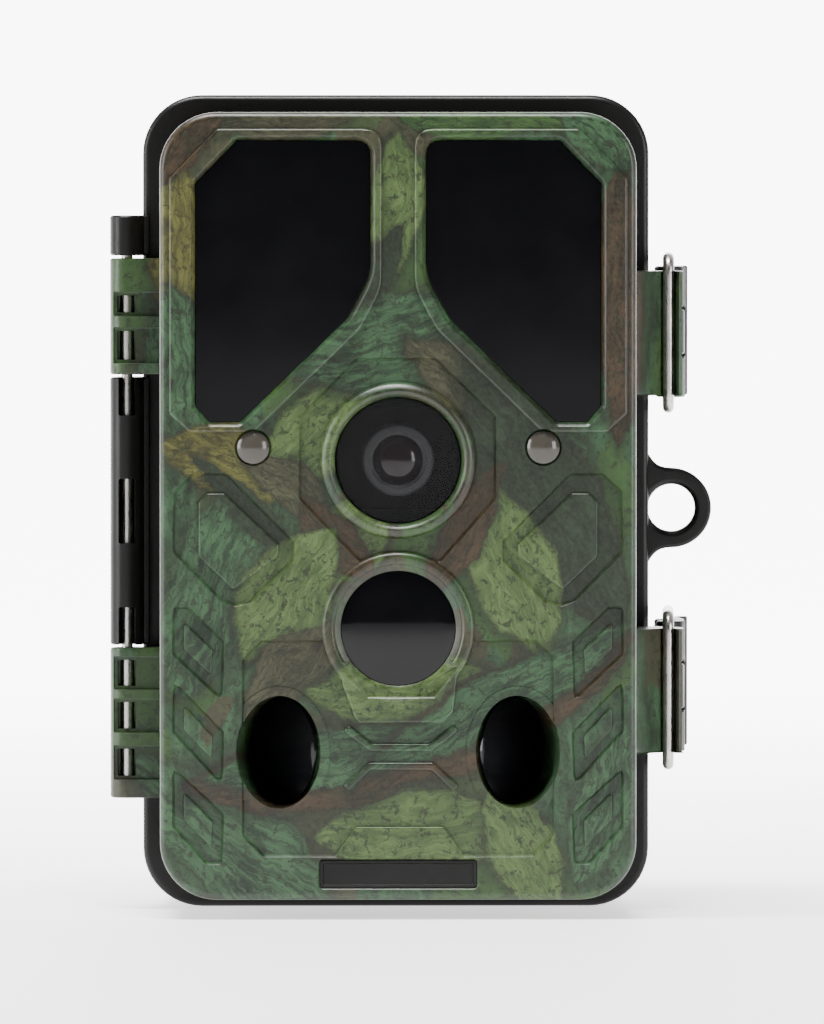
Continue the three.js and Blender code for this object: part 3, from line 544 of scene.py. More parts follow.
def camouflage_print():
    shader = Shader("camouflage")
    place = shader.place()
    wobble = shader.node("ShaderNodeTexNoise")
    shader.feed(wobble, Vector=place, Scale=85.0, Detail=5.0, Roughness=0.62)
    centred = shader.node("ShaderNodeVectorMath", operation="MULTIPLY_ADD")
    shader.link(wobble.outputs["Color"], centred.inputs[0])
    centred.inputs[1].default_value = (WARP, WARP, WARP)
    shader.link(place, centred.inputs[2])
    drawn = centred.outputs[0]

    cells = shader.node("ShaderNodeTexVoronoi", feature="F1")
    squeezed = shader.feed(shader.node("ShaderNodeMapping"), Vector=drawn, Scale=(1.0, 0.7, 0.45)).outputs[0]
    shader.feed(cells, Vector=squeezed, Scale=110.0)
    chance = shader.feed(shader.node("ShaderNodeSeparateXYZ"), Vector=cells.outputs["Color"]).outputs["X"]
    bark = shader.noise(shader.feed(shader.node("ShaderNodeMapping"), Vector=drawn,
                                    Scale=(1, 1, 0.3)).outputs[0],
                        420, 5, 0.7)
    colour = shader.mix(shader.step(bark, 0.35, 0.65), *TEAL_BARK)
    colour = shader.mix(shader.step(chance, 0.45, 0.47), colour, shader.mix(bark, *MID_GREEN))
    colour = shader.mix(shader.step(chance, 0.75, 0.77), colour, shader.mix(bark, *GREY_BROWN))

    leaf = leaf_group()
    for x, z, length, width, turn, (dark, light) in LEAVES:
        layer = shader.node("ShaderNodeGroup", node_tree=leaf)
        shader.feed(layer, Place=drawn, Under=colour, Centre=(x * MM + WARP / 2, 0.0, z * MM + WARP / 2),
                    Turn=(0.0, -math.radians(turn), 0.0), Size=(length * MM, 1.0, width * MM),
                    Dark=(*dark, 1.0), Light=(*light, 1.0))
        colour = layer.outputs["Colour"]

    grain = shader.noise(place, 1300, 3, 0.7)
    speckle = shader.step(shader.noise(drawn, 700, 4, 0.75), 0.54, 0.6, 0.0, 0.75)
    colour = shader.mix(speckle, colour, (0.012, 0.012, 0.008))
    colour = shader.mix(shader.step(grain, 0.35, 0.7, 0.0, 0.16), colour, (0.12, 0.16, 0.08))
    colour = shader.mix(1.0, colour, INK_DEPTH, "MULTIPLY")
    shader.bump(shader.noise(place, 2200, 2, 0.6), 0.00003, 0.4)
    return shader.set(Base_Color=colour, Roughness=shader.step(grain, 0.3, 0.7, 0.3, 0.42), Metallic=0.0,
                      Specular_IOR_Level=0.35)


camouflage = camouflage_print()
lens_ring = moulded_plastic("anodised ring", (0.09, 0.09, 0.095), 0.3)
coated_glass = polished("coated glass", (0.02, 0.008, 0.01), 0.02, 1.0)
screen_glass = polished("screen glass", (0.012, 0.014, 0.016), 0.05)
filter_glass = polished("filter glass", (0.05, 0.012, 0.014), 0.03)
circuit = moulded_plastic("circuit board", (0.012, 0.09, 0.03), 0.45, wear=0.6)
cell_wrap = moulded_plastic("cell wrap", (0.02, 0.045, 0.11), 0.3)


def transparent_pane():
    """Thin smoky glass that hides about a third of what is behind it."""
    shader = Shader("clear pane")
    haze = shader.noise(shader.place(), 70, 2)
    tint = shader.mix(haze, (0.002, 0.002, 0.003), (0.006, 0.006, 0.006))
    gloss = shader.step(haze, 0.3, 0.7, 0.02, 0.05)
    return shader.set(Base_Color=tint, Roughness=gloss, Alpha=0.35, Specular_IOR_Level=0.3)


clear_glass = transparent_pane()


# ---- Front cover: outlines on its face, for the left or right half ----
WINDOW_LEFT = [(-27.7, 87.1), (-8.9, 105.2), (-4.9, 112.7), (-4.9, 136.3), (-28.2, 136.3), (-35.5, 128.8),
               (-35.5, 89.9), (-33.1, 87.1)]
WINDOW_RADII = [1.2, 7, 9, 2.6, 0.6, 0.8, 0.8, 0.6]
BEZEL_LEFT = [(-25.2, 85.2), (-6.6, 103.2), (-2.8, 110.5), (-2.8, 138.4), (-31.7, 138.4), (-40.1, 129.7),
              (-40.1, 88.5), (-36.6, 85.2)]
BEZEL_RADII = [1.5, 7, 9, 3.4, 1.2, 1.2, 1.2, 1]
HEXAGON = [(7.4, 62.6), (17.1, 73.6), (17.1, 88), (6.6, 98.1), (-7.4, 98.1), (-17.3, 88), (-17.3, 73.6),
           (-6.7, 62.6)]
WING_RIGHT = [(25.9, 55.4), (28.6, 54.8), (31, 55.7), (39.4, 64.3), (39.3, 74.7), (36, 78), (30.1, 78),
              (18.2, 66.1),
              (18.2, 62.8)]
WING_PLATEAU = [(28.9, 57.6), (35, 63.5), (35, 73), (33.5, 74.6), (30.4, 74.6), (20.9, 65.6), (20.9, 63.6)]
CHEVRONS_RIGHT = [
    [(30.8, 38.1), (39.5, 46.4), (39.4, 54.6), (36.8, 54.6), (30.5, 48.6)],
    [(30.8, 23.3), (39.5, 32.7), (39.4, 41.8), (30.5, 32.7)],
    [(30.8, 9.6), (33.6, 9.6), (39.5, 16.1), (39.5, 26.6), (30.5, 18.4)],
]
CHEVRON_PLATEAUS = [
    [(32.7, 42.6), (37.6, 47.3), (37.5, 52), (32.5, 47.2)],
    [(32.7, 27.9), (37.6, 33.2), (37.5, 37.4), (32.5, 32)],
    [(32.7, 12.3), (37.6, 17.4), (37.6, 22.3), (32.5, 17.1)],
]
BIB = [(-23.5, 10.9), (23.7, 10.9), (27.3, 14.5), (27.3, 45.9), (24, 48.8), (-24, 48.8), (-27.3, 45.5),
       (-27.3, 14.5)]
TRAPEZOID = [(-11.4, 10.5), (12, 10.5), (8, 16.1), (-7.4, 16.1)]
CHIN = [(-7, 34.3), (7.8, 34.3), (9.7, 36.2), (10.6, 45), (-10.2, 45), (-9.8, 41), (-7.6, 35.2)]
CHIN_SHELF = [(-5.5, 38.8), (6.4, 38.8), (11, 44.6), (-9.4, 44.6)]
BRACKETS = [
    [(-9.2, 33.5), (-4.7, 30), (5.6, 30), (10.2, 33.5)],
    [(-9.2, 22.8), (-5, 26.7), (6, 26.7), (10.2, 22.8)],
]
BADGE_WIDTH, BADGE_HEIGHT, BADGE_Z = 27.4, 4.8, 7.85
BEZEL_HEIGHT = 0.9


def side_lens_plane(push_back):
    """y of the plane of a side lens at x, moved back along its normal."""
    return lambda x: SIDE_Y + push_back / math.cos(SIDE_TURN) + (x - SIDE_X) * math.tan(SIDE_TURN)


def side_pocket(name, extra, push_back, front_y, lip=0.0, draft=0.0):
    """An elliptical pocket that narrows by draft, with its floor in the slanted plane of the side lens."""
    outline = ellipse(7.3 + extra, 9.9 + extra, 20.9, SIDE_Z, 72)
    narrow = ellipse(7.3 + extra - draft, 9.9 + extra - draft / 3, 20.9 - draft, SIDE_Z, 72)
    plane = side_lens_plane(push_back)
    rings = [facing(grown(outline, lip), front_y)]
    if lip:
        rings += [facing(grown(outline, lip), FACE_Y), facing(outline, FACE_Y + lip)]
    rings.append([(x, plane(x), z) for x, z in narrow])
    return loft(name, rings)


def hinge_block(name, low, high, toward_x, front_y, back_y, windows):
    """One knuckle of the housing hinge, with an arm to its shell and windows that show the pin."""
    turns = [math.radians(90 + 15 * k) for k in range(13)]
    outline = [(HINGE_X + HINGE_RADIUS * math.cos(a), HINGE_Y + HINGE_RADIUS * math.sin(a)) for a in turns]
    outline += [(toward_x, front_y), (toward_x, back_y)]
    whole = upright(name, outline, low, high, 0.35)
    bore = ellipse(PIN_BORE_RADIUS, PIN_BORE_RADIUS, HINGE_X, HINGE_Y, 24)
    cutters = [upright(name + " bore", bore, *HINGE_BORE, 0.05)]
    for bottom, top in windows:
        cutters.append(block(f"{name} hollow {bottom}", HINGE_X - 2.4, toward_x - 0.3, front_y - 1,
                             HINGE_Y - 1.5,
                             bottom, top, 0.3))
        cutters.append(block(f"{name} window {bottom}", HINGE_X - 1.7, HINGE_X + 1.5, HINGE_Y - 3,
                             HINGE_Y + 0.3,
                             bottom + 0.7, top - 0.7, 0.2))
    return cut(whole, *cutters)


def catch(name, z):
    """The hook on the cover that the wire bail pulls on."""
    bar_x, bar_y = LATCH_BAR
    wall_x = COVER_WIDTH / 2 - 0.8
    sweep = [(wall_x, PARTING_Y - 21), (42.4, PARTING_Y - 17.6), (43.6, PARTING_Y - 14.6),
             (45.1, PARTING_Y - 12.2),
             (46.7, PARTING_Y - 10.9)]
    groove = [(bar_x - 1.3 * math.cos(math.pi * k / 8),
               bar_y + 1.3 * math.sin(math.pi * k / 8)) for k in range(9)]
    lip = [(bar_x + 1.5, PARTING_Y - 12.2), (49.9, PARTING_Y - 12.6), (50.4, PARTING_Y - 12.1),
           (50.4, PARTING_Y - 6),
           (46, PARTING_Y - 2), (wall_x, PARTING_Y - 1)]
    return upright(name, (sweep + groove + lip)[::-1], z - 11, z + 11, 0.4)


def cover_body():
    """The shell itself: a tray with a softly rounded front edge."""
    face = rectangle(COVER_WIDTH, COVER_HEIGHT, COVER_RADIUS, 0, MIDDLE_Z, 12)
    inner = rectangle(COVER_WIDTH - 2 * COVER_WALL, COVER_HEIGHT - 2 * COVER_WALL,
                      COVER_RADIUS - COVER_WALL, 0,
                      MIDDLE_Z, 12)
    body = plate("front_cover", face, FACE_Y, RIM_Y, 1.3, 0.15, 5)
    return cut(body, plate("cavity", inner, FACE_Y + 2.5, RIM_Y + 1, 0.8))


def raised_features():
    """What stands proud of the face."""
    solids = []
    bezel = rounded(BEZEL_LEFT, BEZEL_RADII)
    for outline in (bezel, mirrored(bezel)):
        solids.append(plate("bezel", outline, FACE_Y - BEZEL_HEIGHT, FACE_Y + 0.6, 0.55))
    solids.append(turned("lens ring", [(0, -1), (13.8, -1), (13.7, 0), (13.3, 0.45), (12.75, 0.85),
                                       (12.3, 1.0),
                                       (12.0, 0.95), (11.6, 0.6), (0, 0.6)], (LENS_X, FACE_Y, LENS_Z),
                                       segments=96))
    solids.append(turned("sensor ring", [(0, -1), (13.6, -1), (13.5, 0), (13.2, 0.5), (12.8, 0.75),
                                         (12.3, 0.8),
                                         (11.6, 0.7), (11.2, 0.3), (0, 0.3)], (0, FACE_Y, SENSOR_Z),
                                         segments=96))
    solids.append(plate("chin", rounded(CHIN, 0.9), FACE_Y - 0.7, FACE_Y + 0.6, 0.5))
    solids += [hinge_block("cover hinge upper", 94.9, 115.5, -COVER_WIDTH / 2 + 0.8, HINGE_Y - 3, HINGE_Y + 3,
                           [(96.8, 103.3), (105.2, 109.6)]),
               hinge_block("cover hinge lower", 19.7, 46.4, -COVER_WIDTH / 2 + 0.8, HINGE_Y - 3, HINGE_Y + 3,
                           [(22.9, 29.1), (31.3, 37.4), (38.9, 44.9)])]
    solids += [catch(f"catch {level}", z) for level, z in LATCH_HEIGHTS.items()]
    housing = side_pocket("sensor housing", 1.6, 3, FACE_Y + 0.5)
    return solids + [flipped(housing), housing]


def recesses():
    """What is sunk into the face, before anything stands on it."""
    cutters = [pocket("hexagon", rounded(HEXAGON, 0.8, 2), FACE_Y + 0.8, FACE_Y, 0.35),
               pocket("bib", rounded(BIB, 0.8, 2), FACE_Y + 0.8, FACE_Y, 0.35)]
    wing = rounded(WING_RIGHT, 0.8, 2)
    for outline in [wing, mirrored(wing)]:
        cutters.append(pocket("wing", outline, FACE_Y + 0.95, FACE_Y, 0.35))
    for points in CHEVRONS_RIGHT:
        chevron = rounded(points, 0.7, 2)
        for outline in (chevron, mirrored(chevron)):
            cutters.append(pocket("chevron", outline, FACE_Y + 0.95, FACE_Y, 0.35))
    return cutters


def plateaus():
    """Low plates that stand in the recesses."""
    solids = [plate("trapezoid", rounded(TRAPEZOID, 0.5, 2), FACE_Y, FACE_Y + 1.2, 0.25)]
    wing = rounded(WING_PLATEAU, 0.7, 2)
    for outline in (wing, mirrored(wing)):
        solids.append(plate("wing plateau", outline, FACE_Y + 0.15, FACE_Y + 1.2, 0.4))
    for points in CHEVRON_PLATEAUS:
        inner = rounded(points, 0.4, 2)
        for outline in (inner, mirrored(inner)):
            solids.append(plate("chevron plateau", outline, FACE_Y + 0.25, FACE_Y + 1.2, 0.3))
    for number, path in enumerate(BRACKETS):
        solids.append(plate(f"bracket {number}", bar_outline(path, 1.5), FACE_Y + 0.05, FACE_Y + 1.2, 0.45))
    return solids


def face_openings():
    """Holes through the face for windows, lenses and domes."""
    window = rounded(WINDOW_LEFT, WINDOW_RADII)
    cutters = [flared_hole("window hole", outline, FACE_Y - BEZEL_HEIGHT, 0.75)
               for outline in (window, mirrored(window))]
    cutters.append(turned("lens hole", [(0, 2.5), (12.0, 2.5), (12.0, 0.98), (11.6, 0.9), (11.1, 0.2),
                                        (11.1, -4), (0, -4)][::-1],
                          (LENS_X, FACE_Y, LENS_Z), segments=96))
    cutters.append(turned("sensor hole", [(0, 2.5), (11.7, 2.5), (11.7, 0.72), (11.3, 0.5), (10.1, -0.35),
                                          (10.1, -4), (0, -4)][::-1],
                          (0, FACE_Y, SENSOR_Z), segments=96))
    for x in (-DOME_X, DOME_X):
        cutters.append(turned("dome hole", [(0, 2.5), (3.25, 2.5), (3.25, 0), (2.95, -0.3), (2.95, -4),
                                            (0, -4)][::-1],
                              (x, FACE_Y, DOME_Z)))
    right = side_pocket("side pocket", 0, 0.7, FACE_Y - 2, 0.25, 1.1)
    cutters += [flipped(right), right]
    cutters.append(pocket("badge seat", rectangle(BADGE_WIDTH + 0.3, BADGE_HEIGHT + 0.3, 0.7, 0, BADGE_Z, 4),
                          FACE_Y + 0.9, FACE_Y, 0.02, 0.2))
    return cutters


def flared_hole(name, outline, rim_y, flare):
    """A cutter for a through hole whose walls open out towards the front."""
    return loft(name, [
        facing(grown(outline, flare + 0.3), rim_y - 0.5),
        facing(grown(outline, flare + 0.1), rim_y + 0.02),
        facing(grown(outline, flare - 0.15), rim_y + 0.2),
        facing(grown(outline, 0.05), FACE_Y + 0.2),
        facing(grown(outline, 0.05), FACE_Y + 4),
    ])


def chin_shelf():
    return pocket("chin shelf", rounded(CHIN_SHELF, 0.4, 2), FACE_Y - 0.25, FACE_Y - 0.7, 0.5)


def build_cover():
    shell = cover_body()
    cut(shell, *recesses())
    added(shell, *raised_features())
    added(shell, *plateaus())
    cut(shell, chin_shelf(), *face_openings())
    finished(shell, camouflage, "front_cover", "front_shell", slot="camouflage")


# ---- Front cover: what is set in its face ----
def build_face_fittings():
    window = rounded(WINDOW_LEFT, WINDOW_RADII)
    for side, outline in (("left", window), ("right", mirrored(window))):
        pane = plate(f"ir_pane_{side}", outline, FACE_Y + 0.3, FACE_Y + 2.3, 0.15)
        finished(pane, acrylic, "front_cover", f"ir_window_{side}", slot="dark_acrylic")
    centre = turned("motion_lens_centre", [(0, -2.2), (10, -2.2), (10, -0.6)] + domed(10, 0.9, -0.5)[1:],
                    (0, FACE_Y, SENSOR_Z), segments=96)
    finished(centre, acrylic, "front_cover", "pir_lens_centre", slot="dark_acrylic")
    normal = Vector((math.sin(SIDE_TURN), -math.cos(SIDE_TURN), 0))
    side_lens = turned("motion_lens_right", [(0, -0.3), (9.2, -0.3), (9.2, 0.3)] + domed(9.2, 0.9, 0.3)[1:],
                       (SIDE_X, SIDE_Y, SIDE_Z), tuple(normal), 96)
    twin = flipped(side_lens)
    twin.name = "motion_lens_left"
    finished(side_lens, acrylic, "front_cover", "pir_lens_right", slot="dark_acrylic")
    finished(twin, acrylic, "front_cover", "pir_lens_left", slot="dark_acrylic")
    for x, name, node in ((-DOME_X, "status_dome", "status_led_dome"),
                          (DOME_X, "light_dome", "light_sensor_dome")):
        dome = turned(name, [(0, -1.8), (2.85, -1.8), (2.85, 0.1)] + domed(2.75, 1.0, 0.2),
                      (x, FACE_Y, DOME_Z))
        finished(dome, dome_glass, "front_cover", node, slot="dark_glass")
    badge = plate("blank_badge", rectangle(BADGE_WIDTH, BADGE_HEIGHT, 0.6, 0, BADGE_Z, 4), FACE_Y + 0.1,
                  FACE_Y + 0.88, 0.15)
    cut(badge, pocket("badge field", rectangle(BADGE_WIDTH - 1, BADGE_HEIGHT - 1, 0.3, 0, BADGE_Z, 4),
                      FACE_Y + 0.4,
                      FACE_Y + 0.1, 0.12, 0.05))
    finished(badge, black, "front_cover", "badge_plate", slot="black_plastic")


# ---- Rear shell ----
STRAP_RAIL = {"inner": 25, "outer": 31, "bottom": 22, "top": 122, "teeth": 10}
STRAP_SLOTS = [(30, 56), (88, 114)]
LUG = {"x": 49.1, "z": 71, "radius": 7.1, "hole": 4.2, "front": PARTING_Y + 1, "back": PARTING_Y + 4.6}
TRIPOD_Y, TRIPOD_RADIUS = 10, 4.7
JACK_Y, JACK_Z, JACK_RADIUS = 10, 13, 4.5


def sideways(name, outline, x0, x1, edge=0.3, steps=2):
    """A prism lying along X on a [y, z] outline, with quarter-round ends."""
    def level(inset, x):
        return [(x, y, z) for y, z in grown(outline, -inset)]
    rings = [level(inset, x0 + drop) for inset, drop in reversed(edge_steps(edge, steps))]
    rings += [level(inset, x1 - drop) for inset, drop in edge_steps(edge, steps)]
    return loft(name, rings)


def rod(name, radius, x, y, z0, z1, segments=32, chamfer=0.2):
    """An upright round bar with chamfered ends."""
    profile = [(0, z0), (radius - chamfer, z0), (radius, z0 + chamfer), (radius, z1 - chamfer),
               (radius - chamfer, z1),
               (0, z1)]
    return turned(name, profile, (x, y, 0), (0, 0, 1), segments)


def bezier(start, first, second, end, steps=10):
    points = []
    for k in range(steps + 1):
        s = k / steps
        weights = ((1 - s) ** 3, 3 * s * (1 - s) ** 2, 3 * s * s * (1 - s), s ** 3)
        points.append(tuple(sum(w * p[i] for w, p in zip(weights, (start, first, second, end))) for i in (0,
                                                                                                          1)))
    return points


def strap_rail():
    """A toothed rail that bites into the tree, with two slots for the strap."""
    low, high = STRAP_RAIL["bottom"], STRAP_RAIL["top"]
    pitch = (high - low) / STRAP_RAIL["teeth"]
    outline = [(REAR_BACK_Y - 1, low)]
    for k in range(STRAP_RAIL["teeth"]):
        bottom = low + k * pitch
        outline += [(RAIL_TIP_Y - 2.4, bottom + 0.1), (RAIL_TIP_Y, bottom + 0.35 * pitch),
                    (RAIL_TIP_Y, bottom + 0.65 * pitch)]
    outline += [(RAIL_TIP_Y - 2.4, high), (REAR_BACK_Y - 1, high)]
    rail = sideways("rail", rounded(outline, 0.7, 2), STRAP_RAIL["inner"], STRAP_RAIL["outer"], 0.5)
    slots = [sideways(f"strap slot {low}", rounded([(REAR_BACK_Y + 1.4, low), (REAR_BACK_Y + 6.6, low),
                                                    (REAR_BACK_Y + 6.6, high), (REAR_BACK_Y + 1.4, high)],
                                                    1.2),
                      STRAP_RAIL["inner"] - 1, STRAP_RAIL["outer"] + 1) for low, high in STRAP_SLOTS]
    return cut(rail, *slots)


def lock_lug():
    x, z, radius = LUG["x"], LUG["z"], LUG["radius"]
    edge_x = FLANGE_WIDTH / 2 - 2
    turns = [math.radians(-90 + 6 * k) for k in range(1, 30)]
    outline = bezier((edge_x, z - 12.8), (45.4, z - 10), (45.2, z - radius), (x, z - radius))
    outline += [(x + radius * math.cos(a), z + radius * math.sin(a)) for a in turns]
    outline += bezier((x, z + radius), (45.2, z + radius), (45.4, z + 10), (edge_x, z + 12.8))
    lug = plate("lock lug", outline, LUG["front"], LUG["back"], 0.6, 0.6)
    half = (LUG["back"] - LUG["front"]) / 2
    hole = turned("lock hole", [(0, -3), (5.2, -3), (5.2, -half - 0.02), (4.5, -half + 0.35),
                                (4.2, -half + 0.9),
                                (4.2, half - 0.9), (4.5, half - 0.35), (5.2, half + 0.02), (5.2, 3), (0, 3)],
                  (x, LUG["front"] + half, z), segments=48)
    return cut(lug, hole)


def rear_knuckle(name, low, high, windows):
    barrel = rod(name, HINGE_RADIUS, HINGE_X, HINGE_Y, low, high, 40, 0.3)
    foot = block(name + " foot", HINGE_X - 2.2, HINGE_X + 4, HINGE_Y, PARTING_Y + 3, low, high, 0.4)
    whole = added(barrel, foot)
    cutters = [rod(name + " bore", PIN_BORE_RADIUS, HINGE_X, HINGE_Y, *HINGE_BORE)]
    cutters += [block(f"{name} window {bottom}", HINGE_X - 1.5, HINGE_X + 1.5, HINGE_Y - 4, HINGE_Y + 0.2,
                      bottom, top, 0.3)
                for bottom, top in windows]
    return cut(whole, *cutters)


def lever_ear(level, z):
    barrel = rod(f"ear {level}", 2.6, LATCH_X, LEVER_PIVOT_Y, z - 4, z + 4, 40, 0.3)
    web = block(f"ear web {level}", 42.5, LATCH_X, LEVER_PIVOT_Y - 2.6, LEVER_PIVOT_Y + 2.6, z - 4, z + 4,
                0.3)
    bore = rod(f"ear bore {level}", PIN_BORE_RADIUS, LATCH_X, LEVER_PIVOT_Y, z - 5, z + 5)
    return cut(added(barrel, web), bore)


def gasket_outline(inset):
    return rectangle(COVER_WIDTH - 2 * inset, COVER_HEIGHT - 2 * inset, COVER_RADIUS - inset, 0, MIDDLE_Z, 12)


def build_rear_shell():
    flange = rectangle(FLANGE_WIDTH, REAR_TOP, 10.5, 0, MIDDLE_Z, 12)
    body = rectangle(REAR_WIDTH, REAR_HEIGHT, 9.5, 0, REAR_HEIGHT / 2, 12)
    cavity = rectangle(REAR_WIDTH - 5, REAR_HEIGHT - 6.4, 7, 0, REAR_HEIGHT / 2)
    mouth = rectangle(COVER_WIDTH - 6.3, COVER_HEIGHT - 6.3, 7, 0, MIDDLE_Z)
    shell = plate("rear_housing", flange, PARTING_Y, PARTING_Y + FLANGE_DEPTH, 1.1, 0.9, 4)
    added(shell, plate("rear body", body, PARTING_Y + 2, REAR_BACK_Y, 0.1, 2.2, 5))
    groove = cut(plate("groove", gasket_outline(0.25), PARTING_Y - 1, PARTING_Y + 1.5, 0.1),
                 plate("groove core", gasket_outline(2.35), PARTING_Y - 2, PARTING_Y + 2, 0.1))
    cut(shell, plate("cavity", cavity, PARTING_Y + 3, REAR_BACK_Y - 2.5, 0.1, 1.2),
        plate("mouth", mouth, PARTING_Y - 1, PARTING_Y + 4, 0.1), groove)
    rail = strap_rail()
    boss = rod("tripod boss", TRIPOD_RADIUS + 2, 0, TRIPOD_Y, 0.5, 11, 48)
    knuckles = [rear_knuckle("top knuckle", 116, 123.1, []),
                rear_knuckle("middle knuckle", 46.9, 94.4, [(46.5, 53.6), (64.9, 76.4), (87.6, 94.8)])]
    ears = [lever_ear(level, z) for level, z in LATCH_HEIGHTS.items()]
    added(shell, boss, flipped(rail), rail, lock_lug(), *knuckles, *ears)
    cut(shell, rod("insert bore", TRIPOD_RADIUS + 0.3, 0, TRIPOD_Y, -1, 9.3, 48),
        turned("jack bore", [(0, 38), (JACK_RADIUS, 38), (JACK_RADIUS, 46), (0, 46)], (0, JACK_Y, JACK_Z),
               (1, 0, 0), 48))
    finished(shell, black, "rear_half", "rear_shell", slot="black_plastic")


# ---- Rear shell: latches ----
def build_lever(level, z):
    half = 11.65
    pivot, tip = LEVER_PIVOT_Y, LEVER_PIVOT_Y + 21
    outline = rounded([(49.7, pivot - 0.6), (51.7, pivot - 0.6), (51.9, pivot + 10), (51, tip - 3),
                       (53.2, tip),
                       (51.6, tip + 0.6), (48.8, tip - 3), (49.7, pivot + 10)],
                      [0.4, 0.9, 6, 3, 0.5, 0.5, 3, 6], 4)
    lever = upright(f"lever_{level}", outline, z - half, z + half, 0.3)
    cut(lever, block("ear notch", 45, 53, pivot - 4, pivot + 3.6, z - 4.4, z + 4.4, 0.4))
    knuckles, cheeks = [], []
    for side in (-1, 1):
        low, high = sorted((z + side * 4.4, z + side * half))
        knuckles.append(rod(f"lever knuckle {side}", 2.5, LATCH_X, pivot, low, high, 40, 0.3))
        low, high = sorted((z + side * (half - 3), z + side * half))
        cheeks.append(rod(f"cheek {side}", 2.5, LATCH_X, BAIL_PIVOT_Y, low, high, 40, 0.3))
        cheeks.append(block(f"cheek web {side}", LATCH_X, 50.5, BAIL_PIVOT_Y - 2.5, BAIL_PIVOT_Y + 2.5, low,
                            high, 0.3))
    added(lever, *knuckles, *cheeks, solver="EXACT")
    cutters = [rod("pin bore", 1.3, LATCH_X, pivot, z - 9.4, z + 9.4)]
    for side in (-1, 1):
        low, high = sorted((z + side * (half - 3.4), z + side * 12))
        cutters.append(rod(f"wire bore {side}", 1.3, LATCH_X, BAIL_PIVOT_Y, low, high))
    cut(lever, *cutters, solver="EXACT")
    finished(lever, black, f"{level}_lever", f"latch_lever_{level}", slot="black_plastic")
    pin = rod(f"pin_{level}", 1, LATCH_X, pivot, z - 9, z + 9)
    finished(pin, steel, "rear_half", f"lever_pin_{level}", slot="steel")


def build_bail(level, z):
    """The wire loop that hooks on the cover, with its ends turned in to pivot in the lever."""
    start = Vector((LATCH_X, BAIL_PIVOT_Y))
    along = Vector(LATCH_BAR) - start
    reach, half, end = along.length, 13.2, 9.05
    along.normalize()
    route = rounded([(0, -end), (0, -half), (reach, -half), (reach, half), (0, half), (0, end)],
                    [0, 1.2, 3.0, 3.0, 1.2, 0], 8)
    path = []
    for (d0, z0), (d1, z1) in zip(route, route[1:]):
        count = max(1, round(math.hypot(d1 - d0, z1 - z0) / 3))
        path += [(d0 + (d1 - d0) * k / count, z0 + (z1 - z0) * k / count) for k in range(count)]
    path.append(route[-1])
    points = [(start.x + along.x * d, start.y + along.y * d, z + height) for d, height in path]
    wire = tube(f"bail_{level}", points, 1.0, 20)
    finished(wire, steel, f"{level}_bail", f"latch_bail_{level}", slot="steel", angle=50)


# ---- Rear shell: what it carries ----
CELL_RADIUS, CELL_LENGTH, CELL_Y = 7.25, 50.5, 7.6
CELL_ROWS = (20.6, 76.2)
CELL_COLUMNS = (-23.4, -7.8, 7.8, 23.4)


def build_rear_fittings():
    gasket = cut(plate("seal", gasket_outline(0.55), PARTING_Y - 0.1, PARTING_Y + 1.2, 0.4),
                 plate("seal core", gasket_outline(2.05), PARTING_Y - 2, PARTING_Y + 2, 0.1))
    finished(gasket, soft_rubber, "rear_half", "housing_gasket", slot="rubber")
    pin = rod("hinge_rod", 1, HINGE_X, HINGE_Y, 20.4, 121.4)
    finished(pin, steel, "rear_half", "hinge_pin", slot="steel")

    thread = []
    for k in range(6):
        thread += [(2.6, 8.3 - 1.27 * k), (3.15, 8.3 - 1.27 * k - 0.6)]
    insert = turned("insert", [(3.2, 0.4), (4.5, 0.4), (4.7, 0.6), (4.7, 8.8), (4.5, 9), (2.6, 9)] + thread,
                    (0, TRIPOD_Y, 0), (0, 0, 1), 64)
    finished(insert, brass, "rear_half", "tripod_insert", slot="brass")

    socket = turned("power_socket", [(2.7, 34.4), (2.9, 34.2), (3.8, 34.2), (4, 34.4), (4, 42), (3.8, 42.2),
                                     (2.9, 42.2),
                                     (2.7, 42)], (0, JACK_Y, JACK_Z), (1, 0, 0))
    finished(socket, black, "rear_half", "dc_jack", slot="black_plastic")
    grip = [(0, 36.4), (2.2, 36.4), (2.3, 36.6), (2.3, 40.8), (2.15, 41.1), (2.3, 41.4), (2.4, 42.7),
            (3.8, 42.7),
            (4, 42.9), (4, 43.4), (3.85, 43.6), (3.85, 43.8), (4, 44), (3.8, 44.3), (3.4, 44.4), (0, 44.4)]
    plug = turned("jack_cover", grip, (0, JACK_Y, JACK_Z), (1, 0, 0))
    finished(plug, soft_rubber, "plug", "jack_plug", slot="rubber")


